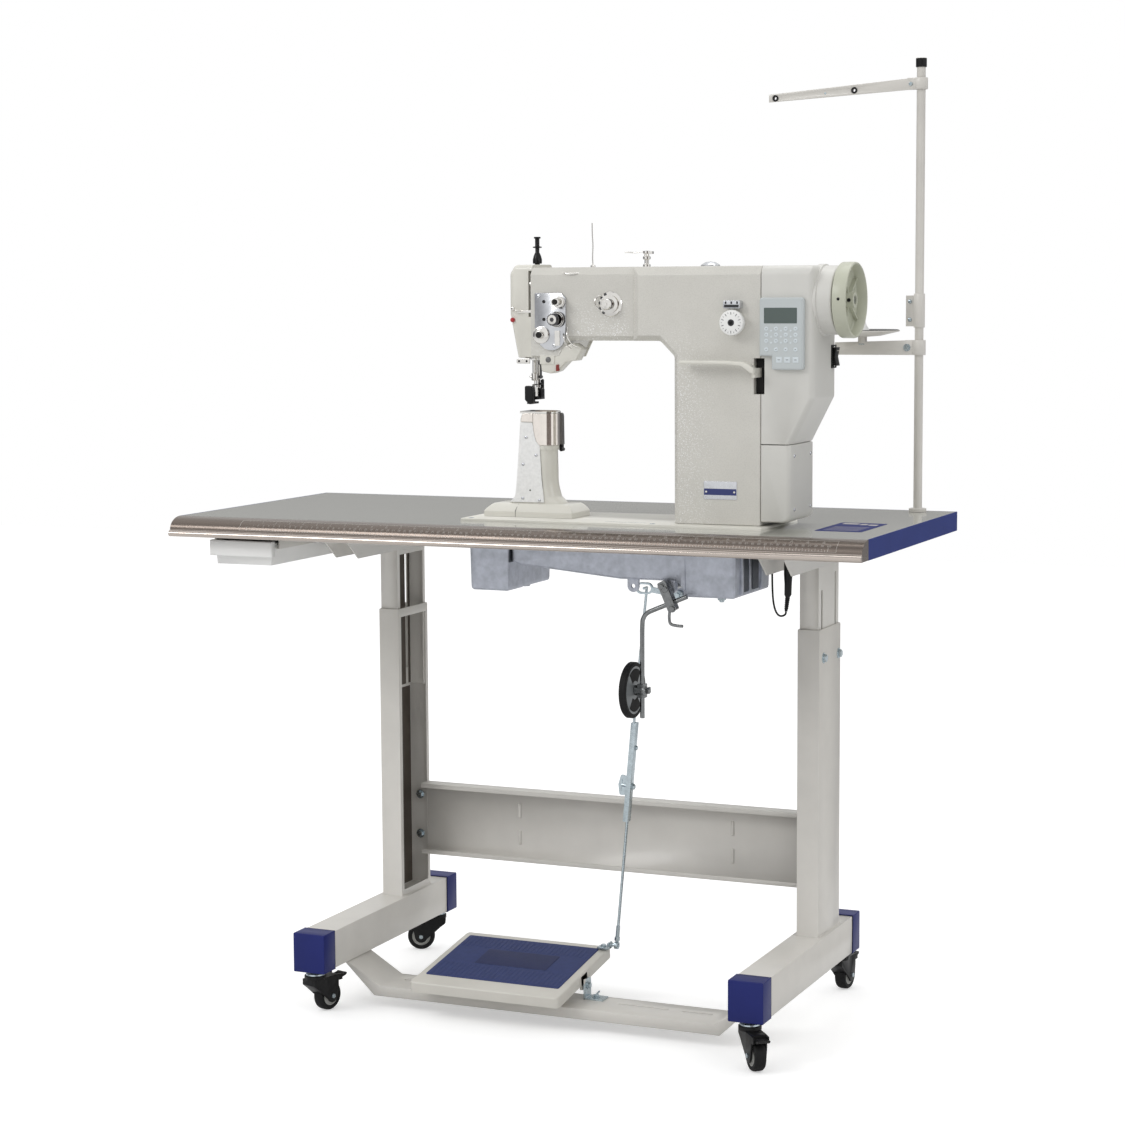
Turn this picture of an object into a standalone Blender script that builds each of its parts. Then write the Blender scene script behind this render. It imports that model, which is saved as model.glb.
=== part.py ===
"""Post-bed leather sewing machine with its direct-drive motor, on a castered treadle table.

Metres, +Z up, +X to the operator's right, +Y away from the operator. Positions below are
written in bench coordinates, whose origin is on the floor under the middle of the table. The
part's own origin is on the floor under the middle of its bounding box, BENCH_Y away, because
the spool plate reaches past the rear edge of the table.
"""
import math

import bmesh
import bpy
from mathutils import Matrix, Vector

for stale in list(bpy.data.objects):
    bpy.data.objects.remove(stale, do_unlink=True)

# ---------------------------------------------------------------- driving dimensions
GAP = 0.0003
BENCH_Y = -0.0196

TABLE_HALF = 0.600
TABLE_FRONT = -0.273
TABLE_REAR = 0.273
TABLE_TOP = 0.836
TABLE_UNDER = 0.804
EDGE_BACK = -0.234

LEG_X = {"left": -0.368, "right": 0.406}
INNER_SIDE = {"left": 1, "right": -1}
LEG_HALF = 0.019
LEG_FRONT = 0.072
LEG_REAR = 0.185
LEG_TOP = 0.652
FOOT_HALF = 0.0275
FOOT_LOW = 0.075
FOOT_HIGH = 0.138
FOOT_FRONT = -0.232
FOOT_REAR = 0.270

STEM_Y = {"front": -0.212, "rear": 0.245}
CASTER_HEADING = {
    ("left", "front"): 75.0,
    ("left", "rear"): 204.0,
    ("right", "front"): -51.0,
    ("right", "rear"): 84.0,
}
WHEEL_RADIUS = 0.025
TRAIL = 0.028

BED_LEFT = -0.114
BED_RIGHT = 0.404
BED_FRONT = -0.158
BED_REAR = 0.020
BED_TOP = 0.840
BED_UNDER = 0.822

NEEDLE_X = -0.0185
NEEDLE_Y = -0.071
PRESSER_Y = -0.057
SHAFT_Z = 1.191
HEAD_FRONT = -0.130
HEAD_REAR = -0.012
HEAD_TOP = 1.245
HEAD_ROUND = 0.016
ARM_LEFT = -0.0035
ARM_UNDER = 1.128
COLUMN_LEFT = 0.2457
COLUMN_RIGHT = 0.3925
COVER_LEFT = 0.3931
COVER_RIGHT = 0.4785

POLE_X = 0.539
POLE_Y = 0.2464
POLE_RADIUS = 0.0072
POLE_TOP = 1.584
SPOOL_X = 0.4414
SPOOL_RADIUS = 0.062

PEDAL_PIVOT = (0.0, -0.080, 0.060)
PEDAL_TILT = math.radians(8.06)
ROD_FOOT = Vector((0.0850, 0.020, 0.1046))
ROD_HEAD = Vector((0.1464, 0.008, 0.7185))
LEVER_PIVOT = (0.2057, 0.0, 0.7095)
KNEE_PIVOT = (0.250, -0.165, 0.740)


# ---------------------------------------------------------------- materials
def material(name, color, roughness, metallic=0.0):
    made = bpy.data.materials.new(name)
    made.use_nodes = True
    shader = made.node_tree.nodes["Principled BSDF"]
    shader.inputs["Base Color"].default_value = (*color, 1.0)
    shader.inputs["Roughness"].default_value = roughness
    shader.inputs["Metallic"].default_value = metallic
    made.diffuse_color = (*color, 1.0)
    return made


IVORY = material("ivory_paint", (0.58, 0.56, 0.50), 0.32)
COVER_PAINT = material("cover_paint", (0.58, 0.57, 0.55), 0.38)
WHEEL_PAINT = material("handwheel_paint", (0.37, 0.38, 0.29), 0.35)
LAMINATE = material("grey_laminate", (0.45, 0.45, 0.41), 0.18)
EDGE_METAL = material("taupe_edge", (0.31, 0.27, 0.23), 0.30, 0.6)
STAND_PAINT = material("stand_paint", (0.48, 0.45, 0.42), 0.36)
BLUE_PLASTIC = material("blue_plastic", (0.02, 0.03, 0.20), 0.35)
PEDAL_PAINT = material("pedal_paint", (0.58, 0.56, 0.52), 0.40)
BLACK_PLASTIC = material("black_plastic", (0.02, 0.02, 0.02), 0.45)
BLACK_RUBBER = material("black_rubber", (0.015, 0.015, 0.015), 0.75)
ZINC = material("zinc_plate", (0.45, 0.52, 0.55), 0.30, 1.0)
STEEL = material("polished_steel", (0.62, 0.62, 0.62), 0.16, 1.0)
CAST_ALU = material("cast_aluminium", (0.32, 0.35, 0.39), 0.50, 0.9)
WHITE_PLASTIC = material("white_plastic", (0.80, 0.80, 0.80), 0.40)
COPPER = material("motor_windings", (0.25, 0.12, 0.06), 0.45, 0.5)


# ---------------------------------------------------------------- solid builders
AXES = {"X": (1, 2, 0), "Y": (0, 2, 1), "Z": (0, 1, 2)}


def point(axis, a, b, along):
    """A 3-D point from two coordinates across an axis and one along it."""
    first, second, third = AXES[axis]
    xyz = [0.0, 0.0, 0.0]
    xyz[first] = a
    xyz[second] = b
    xyz[third] = along
    return Vector(xyz)


def loft(rings):
    """A closed solid through rings that have the same number of points, with flat ends."""
    shape = bmesh.new()
    loops = [[shape.verts.new(corner) for corner in ring] for ring in rings]
    count = len(loops[0])
    for lower, upper in zip(loops, loops[1:]):
        for index in range(count):
            after = (index + 1) % count
            shape.faces.new((lower[index], lower[after], upper[after], upper[index]))
    shape.faces.new(loops[0])
    shape.faces.new(loops[-1])
    return finish_shape(shape)


def finish_shape(shape):
    bmesh.ops.recalc_face_normals(shape, faces=shape.faces[:])
    mesh = bpy.data.meshes.new("shape")
    shape.to_mesh(mesh)
    shape.free()
    return mesh


def prism(outline, axis, low, high):
    """An outline drawn across an axis, extruded along it from low to high."""
    return loft([[point(axis, a, b, along) for a, b in outline] for along in (low, high)])


def box(x_range, y_range, z_range):
    left, right = x_range
    front, back = y_range
    return prism([(left, front), (right, front), (right, back), (left, back)], "Z", *z_range)


def circle(centre, radius, segments=20, start=0.0):
    turn = 2 * math.pi / segments
    angles = [start + turn * index for index in range(segments)]
    return [(centre[0] + radius * math.cos(a), centre[1] + radius * math.sin(a)) for a in angles]


def arc(centre, radius_a, radius_b, start, stop, segments):
    """Points on an elliptical arc; angles in degrees."""
    steps = [math.radians(start + (stop - start) * index / segments) for index in range(segments + 1)]
    return [(centre[0] + radius_a * math.cos(a), centre[1] + radius_b * math.sin(a)) for a in steps]


def cylinder(axis, centre, radius, low, high, segments=20):
    return prism(circle(centre, radius, segments, math.pi / 2), axis, low, high)


def cone(axis, centre, radii, low, high, segments=20):
    rings = []
    for radius, along in zip(radii, (low, high)):
        rings.append([point(axis, a, b, along) for a, b in circle(centre, radius, segments, math.pi / 2)])
    return loft(rings)


def turned(axis, centre, profile, segments=20):
    """A ring turned about an axis from a closed profile of (radius, distance along the axis)."""
    shape = bmesh.new()
    turn = 2 * math.pi / segments
    rings = []
    for index in range(segments):
        angle = math.pi / 2 + turn * index
        ring = []
        for radius, along in profile:
            a = centre[0] + radius * math.cos(angle)
            b = centre[1] + radius * math.sin(angle)
            ring.append(shape.verts.new(point(axis, a, b, along)))
        rings.append(ring)
    count = len(profile)
    for index in range(segments):
        here = rings[index]
        following = rings[(index + 1) % segments]
        for step in range(count):
            after = (step + 1) % count
            shape.faces.new((here[step], here[after], following[after], following[step]))
    return finish_shape(shape)


def rod(path, radius, segments=10):
    """A round bar swept along a path, mitred at its bends."""
    path = [Vector(spot) for spot in path]
    rings = []
    side = None
    for index, spot in enumerate(path):
        before = path[max(index - 1, 0)]
        after = path[min(index + 1, len(path) - 1)]
        inward = (spot - before).normalized() if index else (after - spot).normalized()
        outward = (after - spot).normalized() if index < len(path) - 1 else inward
        heading = (inward + outward).normalized()
        if side is None:
            seed = Vector((0, 0, 1)) if abs(heading.z) < 0.9 else Vector((0, 1, 0))
            side = heading.cross(seed).normalized()
        side = (side - heading * side.dot(heading)).normalized()
        other = heading.cross(side)
        stretch = 1.0 / max(inward.dot(heading), 0.5)
        bend = (outward - inward)
        bend = bend.normalized() if bend.length > 1e-6 else side
        ring = []
        for step in range(segments):
            angle = 2 * math.pi * step / segments
            offset = (side * math.cos(angle) + other * math.sin(angle)) * radius
            offset += bend * offset.dot(bend) * (stretch - 1.0)
            ring.append(spot + offset)
        rings.append(ring)
    return loft(rings)


def moved(mesh, matrix):
    copy = mesh.copy()
    copy.transform(matrix)
    return copy


def combine(base, add=(), cut=(), keep=()):
    """Join, cut and intersect solids with exact Booleans, and return the resulting mesh."""
    body = bpy.data.objects.new("body", base)
    bpy.context.scene.collection.objects.link(body)
    helpers = []
    for operation, meshes in (("UNION", add), ("INTERSECT", keep), ("DIFFERENCE", cut)):
        for mesh in meshes:
            tool = bpy.data.objects.new("tool", mesh)
            bpy.context.scene.collection.objects.link(tool)
            helpers.append(tool)
            step = body.modifiers.new(operation.lower(), "BOOLEAN")
            step.operation = operation
            step.solver = "EXACT"
            step.object = tool
    graph = bpy.context.evaluated_depsgraph_get()
    result = bpy.data.meshes.new_from_object(body.evaluated_get(graph), depsgraph=graph)
    for used in (body, *helpers):
        bpy.data.objects.remove(used, do_unlink=True)
    return result


def place(name, mesh, finish, origin=(0.0, 0.0, 0.0), heading=0.0, smooth=30.0):
    """Name a solid, move its origin to its joint, and put it into the part's frame.

    With a heading, the mesh is drawn about its own vertical axis and turned to that heading.
    """
    made = mesh.copy()
    if heading == 0.0:
        made.transform(Matrix.Translation(-Vector(origin)))
    made.name = name
    made.materials.clear()
    made.materials.append(finish)
    for face in made.polygons:
        face.material_index = 0
    made.shade_smooth()
    made.set_sharp_from_angle(angle=math.radians(smooth))
    thing = bpy.data.objects.new(name, made)
    thing.location = Vector(origin) + Vector((0.0, BENCH_Y, 0.0))
    thing.rotation_euler = (0.0, 0.0, math.radians(heading))
    bpy.context.scene.collection.objects.link(thing)
    return thing


# ---------------------------------------------------------------- stand: legs, feet, casters
def leg_with_foot(side):
    """An outer leg tube, open at the top and windowed on its inner side, welded to its foot tube."""
    x = LEG_X[side]
    inner = INNER_SIDE[side]
    wall = 0.0025
    leg = box((x - LEG_HALF, x + LEG_HALF), (LEG_FRONT, LEG_REAR), (FOOT_HIGH - 0.001, LEG_TOP))
    foot = box((x - FOOT_HALF, x + FOOT_HALF), (FOOT_FRONT, FOOT_REAR), (FOOT_LOW, FOOT_HIGH))
    foot_bore = box(
        (x - FOOT_HALF + wall, x + FOOT_HALF - wall),
        (FOOT_FRONT - 0.01, FOOT_REAR + 0.01),
        (FOOT_LOW + wall, FOOT_HIGH - wall),
    )
    leg_bore = box(
        (x - LEG_HALF + wall, x + LEG_HALF - wall),
        (LEG_FRONT + wall, LEG_REAR - wall),
        (FOOT_HIGH + 0.002, LEG_TOP + 0.01),
    )
    window_edge = sorted((x + inner * (LEG_HALF - 0.004), x + inner * (LEG_HALF + 0.01)))
    window = box(window_edge, (LEG_FRONT + 0.010, LEG_REAR - 0.008), (FOOT_HIGH + 0.010, LEG_TOP - 0.015))
    place(f"leg_{side}", combine(leg, add=[foot], cut=[foot_bore, leg_bore, window]), STAND_PAINT)


def foot_caps(side):
    """Blue plastic cups over both ends of a foot tube."""
    x = LEG_X[side]
    wall = 0.0018
    length = 0.039
    for end, tip, inward in (("front", FOOT_FRONT - wall, 1), ("rear", FOOT_REAR + wall, -1)):
        open_end = tip + inward * length
        outline_small = [
            (x - FOOT_HALF - wall, FOOT_LOW - wall),
            (x + FOOT_HALF + wall, FOOT_LOW - wall),
            (x + FOOT_HALF + wall, FOOT_HIGH + wall),
            (x - FOOT_HALF - wall, FOOT_HIGH + wall),
        ]
        cup = prism(outline_small, "Y", *sorted((tip, open_end)))
        cavity = box(
            (x - FOOT_HALF - GAP, x + FOOT_HALF + GAP),
            sorted((tip + inward * (wall - GAP), open_end + inward * 0.01)),
            (FOOT_LOW - GAP, FOOT_HIGH + GAP),
        )
        place(f"foot_cap_{end}_{side}", combine(cup, cut=[cavity]), BLUE_PLASTIC)


def caster(side, end):
    """Swivel fork with its axle, wheel and brake pedal. The trail runs along local +X."""
    name = f"{end}_{side}"
    stem = Vector((LEG_X[side], STEM_Y[end], 0.0))
    heading = CASTER_HEADING[(side, end)]
    half = 0.0135
    slot = 0.0108
    outline = [(-0.017, 0.0600), (-0.017, 0.0500), (-0.008, 0.0430), (0.0165, 0.0215)]
    outline += arc((TRAIL, WHEEL_RADIUS), 0.0115, 0.0115, 205, 345, 5)
    outline += [(0.0425, 0.0400), (0.0425, 0.0490), (0.0515, 0.0490), (0.0515, 0.0590), (0.0360, 0.0600)]
    yoke = prism(outline, "Y", -half, half)
    head = cylinder("Z", (0, 0), 0.0185, 0.0585, 0.0650, 16)
    spindle = cylinder("Z", (0, 0), 0.0060, 0.0640, FOOT_LOW - 0.0018 - GAP, 12)
    axle = cylinder("Y", (TRAIL, WHEEL_RADIUS), 0.0030, -half + 0.0005, half - 0.0005, 12)
    wheel_room = cylinder("Y", (TRAIL, WHEEL_RADIUS), 0.0268, -slot, slot, 20)
    pedal_room = box((0.0428, 0.060), (-slot, slot), (0.045, 0.070))
    fork = combine(combine(yoke, add=[head, spindle], cut=[wheel_room, pedal_room]), add=[axle])
    place(f"caster_fork_{name}", fork, BLACK_PLASTIC, stem, heading)

    turn = Matrix.Rotation(math.radians(heading), 4, "Z")
    hub = stem + turn @ Vector((TRAIL, 0.0, WHEEL_RADIUS))
    profile = [(0.0032, -0.0095), (0.0180, -0.0085), (0.0215, -0.0100), (WHEEL_RADIUS, -0.0060)]
    profile += [(radius, -along) for radius, along in reversed(profile)]
    place(f"caster_wheel_{name}", turned("Y", (0, 0), profile), BLACK_RUBBER, hub, heading)

    tread = [(0.0438, 0.0505), (0.0620, 0.0520), (0.0665, 0.0560)]
    tread += [(0.0640, 0.0580), (0.0600, 0.0560), (0.0438, 0.0555)]
    pivot = Vector((0.0475, 0.0, 0.0530))
    pedal = moved(prism(tread, "Y", -0.0103, 0.0103), Matrix.Translation(-pivot))
    place(f"caster_brake_{name}", pedal, BLACK_PLASTIC, stem + turn @ pivot, heading)


def stretcher():
    """Cross channel between the legs, its flanges toward the operator."""
    left = LEG_X["left"] + LEG_HALF + GAP
    right = LEG_X["right"] - LEG_HALF - GAP
    low, high = 0.200, 0.328
    front, back, wall, lip = 0.150, 0.178, 0.0025, 0.008
    outline = [
        (front, low), (back, low), (back, high), (front, high), (front, high - lip),
        (front + wall, high - lip), (front + wall, high - wall), (back - wall, high - wall),
        (back - wall, low + wall), (front + wall, low + wall),
        (front + wall, low + lip), (front, low + lip),
    ]
    place("stretcher", prism(outline, "X", left, right), STAND_PAINT)


def treadle_bar():
    """Inverted channel under both feet, dropped in the middle, with the pedal's two brackets."""
    top = 0.038
    deep = 0.018
    sheet = 0.003
    front, back = -0.145, -0.060
    seat = FOOT_LOW - GAP
    foot_left = LEG_X["left"] + FOOT_HALF
    foot_right = LEG_X["right"] - FOOT_HALF
    drop_left = foot_left + 0.058
    drop_right = foot_right - 0.058
    tab = 0.042
    over = [
        (foot_left - tab, seat), (foot_left - 0.0025, seat), (drop_left, top),
        (drop_right, top), (foot_right + 0.0025, seat), (foot_right + tab, seat),
    ]
    under = [
        (foot_right + tab, seat - sheet), (foot_right + 0.006, seat - sheet),
        (drop_right + 0.010, top - deep), (drop_left - 0.010, top - deep),
        (foot_left - 0.006, seat - sheet), (foot_left - tab, seat - sheet),
    ]
    solid = prism(over + under, "Y", front, back)
    hollow = [
        (drop_left + 0.002, top - sheet), (drop_right - 0.002, top - sheet),
        (foot_right + 0.001, seat - 0.006), (foot_right + 0.001, 0.0), (foot_left - 0.001, 0.0),
        (foot_left - 0.001, seat - 0.006),
    ]
    cuts = [prism(hollow, "Y", front + sheet, back - sheet)]
    slot_y = -0.092
    for low, high in ((0.135, 0.223), (0.248, 0.300), (-0.262, -0.215)):
        cuts.append(box((low, high), (slot_y - 0.0025, slot_y + 0.0025), (top - 0.010, top + 0.010)))
    bar = combine(solid, cut=cuts)
    brackets = []
    bores = []
    for inner_face, outward in ((0.0718, 1), (-0.2050, -1)):
        upright = sorted((inner_face, inner_face + outward * 0.003))
        sole = sorted((inner_face, inner_face + outward * 0.034))
        brackets.append(box(upright, (-0.093, -0.067), (top - 0.001, 0.072)))
        brackets.append(box(sole, (-0.093, -0.067), (top - 0.001, top + 0.003)))
        bores.append(cylinder("X", PEDAL_PIVOT[1:], 0.0036, upright[0] - 0.01, upright[1] + 0.01, 12))
    place("treadle_bar", combine(bar, add=brackets, cut=bores), STAND_PAINT)


def pedal():
    """Tilted pressed-steel pedal, hollow below, with pivot pins and the arm for the pull rod."""
    left, right = -0.2017, 0.0686
    front, back = -0.1101, 0.1182
    top, skirt, sheet = 0.0212, 0.018, 0.0025
    plate = box((left, right), (front, back), (top - skirt, top))
    inside_x = (left + sheet, right - sheet)
    inside_y = (front + sheet, back - sheet)
    hollow = box(inside_x, inside_y, (top - skirt - 0.01, top - sheet))
    shell = combine(plate, cut=[hollow])
    parts = []
    for inner, outer in ((right - 0.004, right), (left, left + 0.004)):
        parts.append(box((inner, outer), (-0.013, 0.013), (-0.006, top - 0.001)))
    parts.append(cylinder("X", (0, 0), 0.0030, right - 0.002, right + 0.0064, 12))
    parts.append(cylinder("X", (0, 0), 0.0030, left - 0.0064, left + 0.002, 12))
    tilt = Matrix.Translation(PEDAL_PIVOT) @ Matrix.Rotation(PEDAL_TILT, 4, "X")
    tilted = moved(combine(shell, add=parts), tilt)
    arm = box((right - 0.016, right + 0.0050), (0.011, 0.029), (0.0930, 0.1085))
    stud = cylinder("X", (ROD_FOOT.y, ROD_FOOT.z), 0.0028, right + 0.0040, ROD_FOOT.x + 0.0045, 12)
    place("pedal", combine(tilted, add=[arm, stud]), PEDAL_PAINT, PEDAL_PIVOT)


def pull_rod():
    """Two-piece pull rod: a lower rod with an eye, and an upper rod welded to a clamping sleeve."""
    direction = (ROD_HEAD - ROD_FOOT).normalized()
    eye = turned("X", (ROD_FOOT.y, ROD_FOOT.z), [
        (0.0032, ROD_FOOT.x - 0.003), (0.0065, ROD_FOOT.x - 0.003),
        (0.0065, ROD_FOOT.x + 0.003), (0.0032, ROD_FOOT.x + 0.003)], 14)
    lower_start = ROD_FOOT + direction * 0.005
    lower_end = ROD_FOOT + direction * 0.370
    lower = combine(rod([lower_start, lower_end], 0.0025), add=[eye])
    place("pull_rod_lower", lower, ZINC, ROD_FOOT)

    side = direction.cross(Vector((0, 1, 0))).normalized()
    basis = Matrix.Identity(4)
    across = direction.cross(side).normalized()
    for column, vector in enumerate((side, across, direction)):
        for row in range(3):
            basis[row][column] = vector[row]
    basis.translation = ROD_FOOT
    sleeve_low, sleeve_high = 0.218, 0.388
    outer = box((-0.0043, 0.0043), (-0.0043, 0.0094), (sleeve_low, sleeve_high))
    groove = box((-0.0031, 0.0031), (-0.0031, 0.0110), (sleeve_low - 0.01, sleeve_high + 0.01))
    web = box((-0.0043, 0.0043), (0.0031, 0.0094), (sleeve_low, sleeve_high))
    screw = cylinder("X", (0.0, 0.278), 0.0028, 0.0036, 0.0150, 10)
    wing = box((0.0140, 0.0165), (-0.0020, 0.0020), (0.268, 0.288))
    sleeve = combine(combine(outer, cut=[groove]), add=[web, screw, wing])
    stem_foot = ROD_FOOT + direction * (sleeve_high - 0.030) + across * 0.0064
    stem_bend = ROD_FOOT + direction * 0.44 + across * 0.0064
    stem = rod([stem_foot, stem_bend, ROD_HEAD - direction * 0.02, ROD_HEAD], 0.0023)
    pin = cylinder("Y", (ROD_HEAD.x, ROD_HEAD.z), 0.0023, -0.0055, ROD_HEAD.y + 0.001, 10)
    upper = combine(moved(sleeve, basis), add=[stem, pin])
    place("pull_rod_upper", upper, ZINC, ROD_HEAD)


def control_lever():
    """Lever under the oil pan that the pull rod turns; its long eye has clearance on the rod's pin."""
    x, y, z = LEVER_PIVOT
    front, back = y - 0.0042, y + 0.0004
    travel = 0.0056
    head = Vector((ROD_HEAD.x, 0.0, ROD_HEAD.z))

    def eye(radius, low, high):
        outline = arc((head.x + travel, head.z), radius, radius, -90, 90, 8)
        outline += arc((head.x - travel, head.z), radius, radius, 90, 270, 8)
        return prism(outline, "Y", low, high)

    boss = cylinder("Y", (x, z), 0.0080, front, y + 0.0025, 16)
    slope = Vector((x - head.x, z - head.z)).normalized()
    normal = Vector((-slope.y, slope.x)) * 0.0045
    corners = []
    for spot, sign in (((head.x, head.z), 1), ((x, z), 1), ((x, z), -1), ((head.x, head.z), -1)):
        corners.append((spot[0] + sign * normal.x, spot[1] + sign * normal.y))
    strap = prism(corners, "Y", front, back)
    bores = [eye(0.0064, y - 0.01, y + 0.01), cylinder("Y", (x, z), 0.0034, y - 0.01, y + 0.01, 12)]
    lever = combine(strap, add=[eye(0.0098, front, back), boss], cut=bores)
    place("control_lever", lever, ZINC, LEVER_PIVOT)


# ---------------------------------------------------------------- table
def tabletop():
    board = box((-TABLE_HALF, TABLE_HALF), (EDGE_BACK + GAP, TABLE_REAR), (TABLE_UNDER, TABLE_TOP))
    cutout = box(
        (BED_LEFT - 0.0005, BED_RIGHT + 0.0005),
        (BED_FRONT - 0.0005, BED_REAR + 0.0005),
        (TABLE_UNDER - 0.01, TABLE_TOP + 0.01),
    )
    place("tabletop", combine(board, cut=[cutout]), LAMINATE)


def front_edge():
    """Half-round front rail with a small ledge above its lower lip."""
    ledge = 0.8155
    outline = [(EDGE_BACK, TABLE_UNDER), (-0.271, TABLE_UNDER), (TABLE_FRONT, 0.806), (TABLE_FRONT, 0.813)]
    outline += [(-0.271, 0.8150), (-0.2672, ledge)]
    outline += arc((EDGE_BACK, ledge), 0.0325, TABLE_TOP - ledge, 180, 90, 8)
    place("front_edge", prism(outline, "X", -TABLE_HALF, TABLE_HALF), EDGE_METAL)


def table_bracket(side):
    """Inner leg tube with height slots, welded into the channel that carries the tabletop."""
    x = LEG_X[side]
    inner = INNER_SIDE[side]
    half = LEG_HALF - 0.0025 - GAP
    front = LEG_FRONT + 0.0025 + GAP
    rear = LEG_REAR - 0.0025 - GAP
    low, bracket_low = 0.505, 0.757
    high = TABLE_UNDER - GAP
    wall = 0.0025
    tube = box((x - half, x + half), (front, rear), (low, high - 0.001))
    bore = box((x - half + wall, x + half - wall), (front + wall, rear - wall), (low - 0.01, high - 0.006))
    window_edge = sorted((x + inner * (half - 0.004), x + inner * (half + 0.01)))
    window = box(window_edge, (front + 0.010, rear - 0.008), (low - 0.01, bracket_low - 0.010))
    slot_edge = sorted((x - inner * (half - 0.004), x - inner * (half + 0.01)))
    slots = []
    for slot_y, slot_top in ((0.0935, 0.716), (0.1660, 0.740)):
        slots.append(box(slot_edge, (slot_y - 0.004, slot_y + 0.004), (low + 0.030, slot_top)))
    tube = combine(tube, cut=[bore, window, *slots])
    outline = [
        (-0.130, high), (-0.130, high - 0.006), (-0.078, bracket_low), (0.240, bracket_low), (0.240, high),
    ]
    channel = prism(outline, "X", x - 0.0222, x + 0.0222)
    inside = box((x - 0.0197, x + 0.0197), (-0.2, 0.3), (bracket_low - 0.01, high - 0.003))
    place(f"table_bracket_{side}", combine(combine(channel, cut=[inside]), add=[tube]), STAND_PAINT)


DRAWER_X = -0.4765


def drawer_rail():
    """C-shaped runner under the table that the drawer's rims slide in."""
    high = TABLE_UNDER - GAP
    half = []
    half += [(0.0625, high), (0.0625, 0.7850), (0.0553, 0.7850), (0.0553, 0.7875), (0.0600, 0.7875)]
    half += [(0.0600, high - 0.0022)]
    outline = [(DRAWER_X + a, b) for a, b in half] + [(DRAWER_X - a, b) for a, b in reversed(half)]
    place("drawer_rail", prism(outline, "Y", -0.226, 0.048), STAND_PAINT)


def drawer():
    """Open plastic drawer with drafted sides, sliding rims and a grip lip."""
    low, high = 0.758, 0.7945
    front, back = -0.236, 0.046
    wall = 0.0025
    shell = [(DRAWER_X - 0.0515, low), (DRAWER_X + 0.0515, low)]
    shell += [(DRAWER_X + 0.0545, high), (DRAWER_X - 0.0545, high)]
    room = [
        (DRAWER_X - 0.0490, low + wall), (DRAWER_X + 0.0490, low + wall),
        (DRAWER_X + 0.0520, high + 0.01), (DRAWER_X - 0.0520, high + 0.01),
    ]
    tub = combine(prism(shell, "Y", front, back), cut=[prism(room, "Y", front + wall, back - wall)])
    rims = [
        box((DRAWER_X + 0.0525, DRAWER_X + 0.0588), (-0.222, back), (0.7880, 0.7910)),
        box((DRAWER_X - 0.0588, DRAWER_X - 0.0525), (-0.222, back), (0.7880, 0.7910)),
    ]
    lip = box((DRAWER_X - 0.0595, DRAWER_X + 0.0585), (-0.246, front + 0.001), (0.7725, 0.7985))
    place("drawer", combine(tub, add=[*rims, lip]), WHITE_PLASTIC, (DRAWER_X, front, low))


# ---------------------------------------------------------------- bed, pan and post
def bed_plate():
    place("bed_plate", box((BED_LEFT, BED_RIGHT), (BED_FRONT, BED_REAR), (BED_UNDER, BED_TOP)), IVORY)


def oil_pan():
    """Cast pan under the bed: a deep box left, a sloping tray, a deep sump right, and its lugs."""
    high = BED_UNDER - GAP
    outline = [
        (-0.102, high), (-0.099, 0.724), (-0.031, 0.7235), (-0.029, 0.770), (-0.005, 0.766),
        (0.165, 0.7505), (0.262, 0.7505), (0.272, 0.744), (0.2762, 0.7260), (0.360, 0.7266), (0.360, high),
    ]
    wall = 0.003
    room = [
        (-0.099, high + 0.01), (-0.0962, 0.727), (-0.034, 0.7265), (-0.032, 0.773),
        (-0.005, 0.769), (0.165, 0.7535), (0.263, 0.7535), (0.2745, 0.746),
        (0.2786, 0.7290), (0.357, 0.7296), (0.357, high + 0.01),
    ]
    tub = combine(prism(outline, "Y", -0.155, 0.017), cut=[prism(room, "Y", -0.155 + wall, 0.017 - wall)])
    knee_x, _, knee_z = KNEE_PIVOT
    lever_x, _, lever_z = LEVER_PIVOT
    ear_x, ear_z, ear_half = 0.186, 0.7400, 0.0098
    ear = arc((ear_x, ear_z), ear_half, ear_half, 180, 360, 12)
    ear += [(ear_x + ear_half, 0.7515), (ear_x - ear_half, 0.7515)]
    lugs = [
        box((knee_x - 0.009, knee_x + 0.009), (-0.153, -0.141), (knee_z - 0.010, 0.7515)),
        box((knee_x - 0.009, knee_x + 0.009), (-0.080, -0.068), (knee_z - 0.010, 0.7515)),
        prism(ear, "Y", -0.150, -0.145),
        box((lever_x - 0.008, lever_x + 0.008), (0.0032, 0.0072), (lever_z - 0.008, 0.7515)),
        cylinder("Y", (lever_x, lever_z), 0.0030, -0.0052, 0.0040, 14),
        cylinder("Z", (0.318, -0.100), 0.0065, 0.7150, 0.7275, 12),
    ]
    bores = [
        cylinder("Y", (knee_x, knee_z), 0.0054, -0.160, -0.060, 16),
        cylinder("Y", (ear_x, ear_z), 0.0036, -0.160, -0.140, 12),
    ]
    place("oil_pan", combine(tub, add=lugs, cut=bores), CAST_ALU)


POST_HALF = 0.0215
POST_FRONT = NEEDLE_Y - POST_HALF
POST_HEAD = 1.0085
HOOK_CENTRE = (0.0010, NEEDLE_Y)
HOOK_RADIUS = 0.0175
HOOD_LEFT = -0.0124


def half_round(x_left, x_right, half, z):
    """A level section about the needle's line: square on the left, half round on the right."""
    outline = [(x_left, NEEDLE_Y + half), (x_left, NEEDLE_Y - half)]
    outline += arc((x_right - half, NEEDLE_Y), half, half, -90, 90, 12)
    return [Vector((x, y, z)) for x, y in outline]


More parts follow.
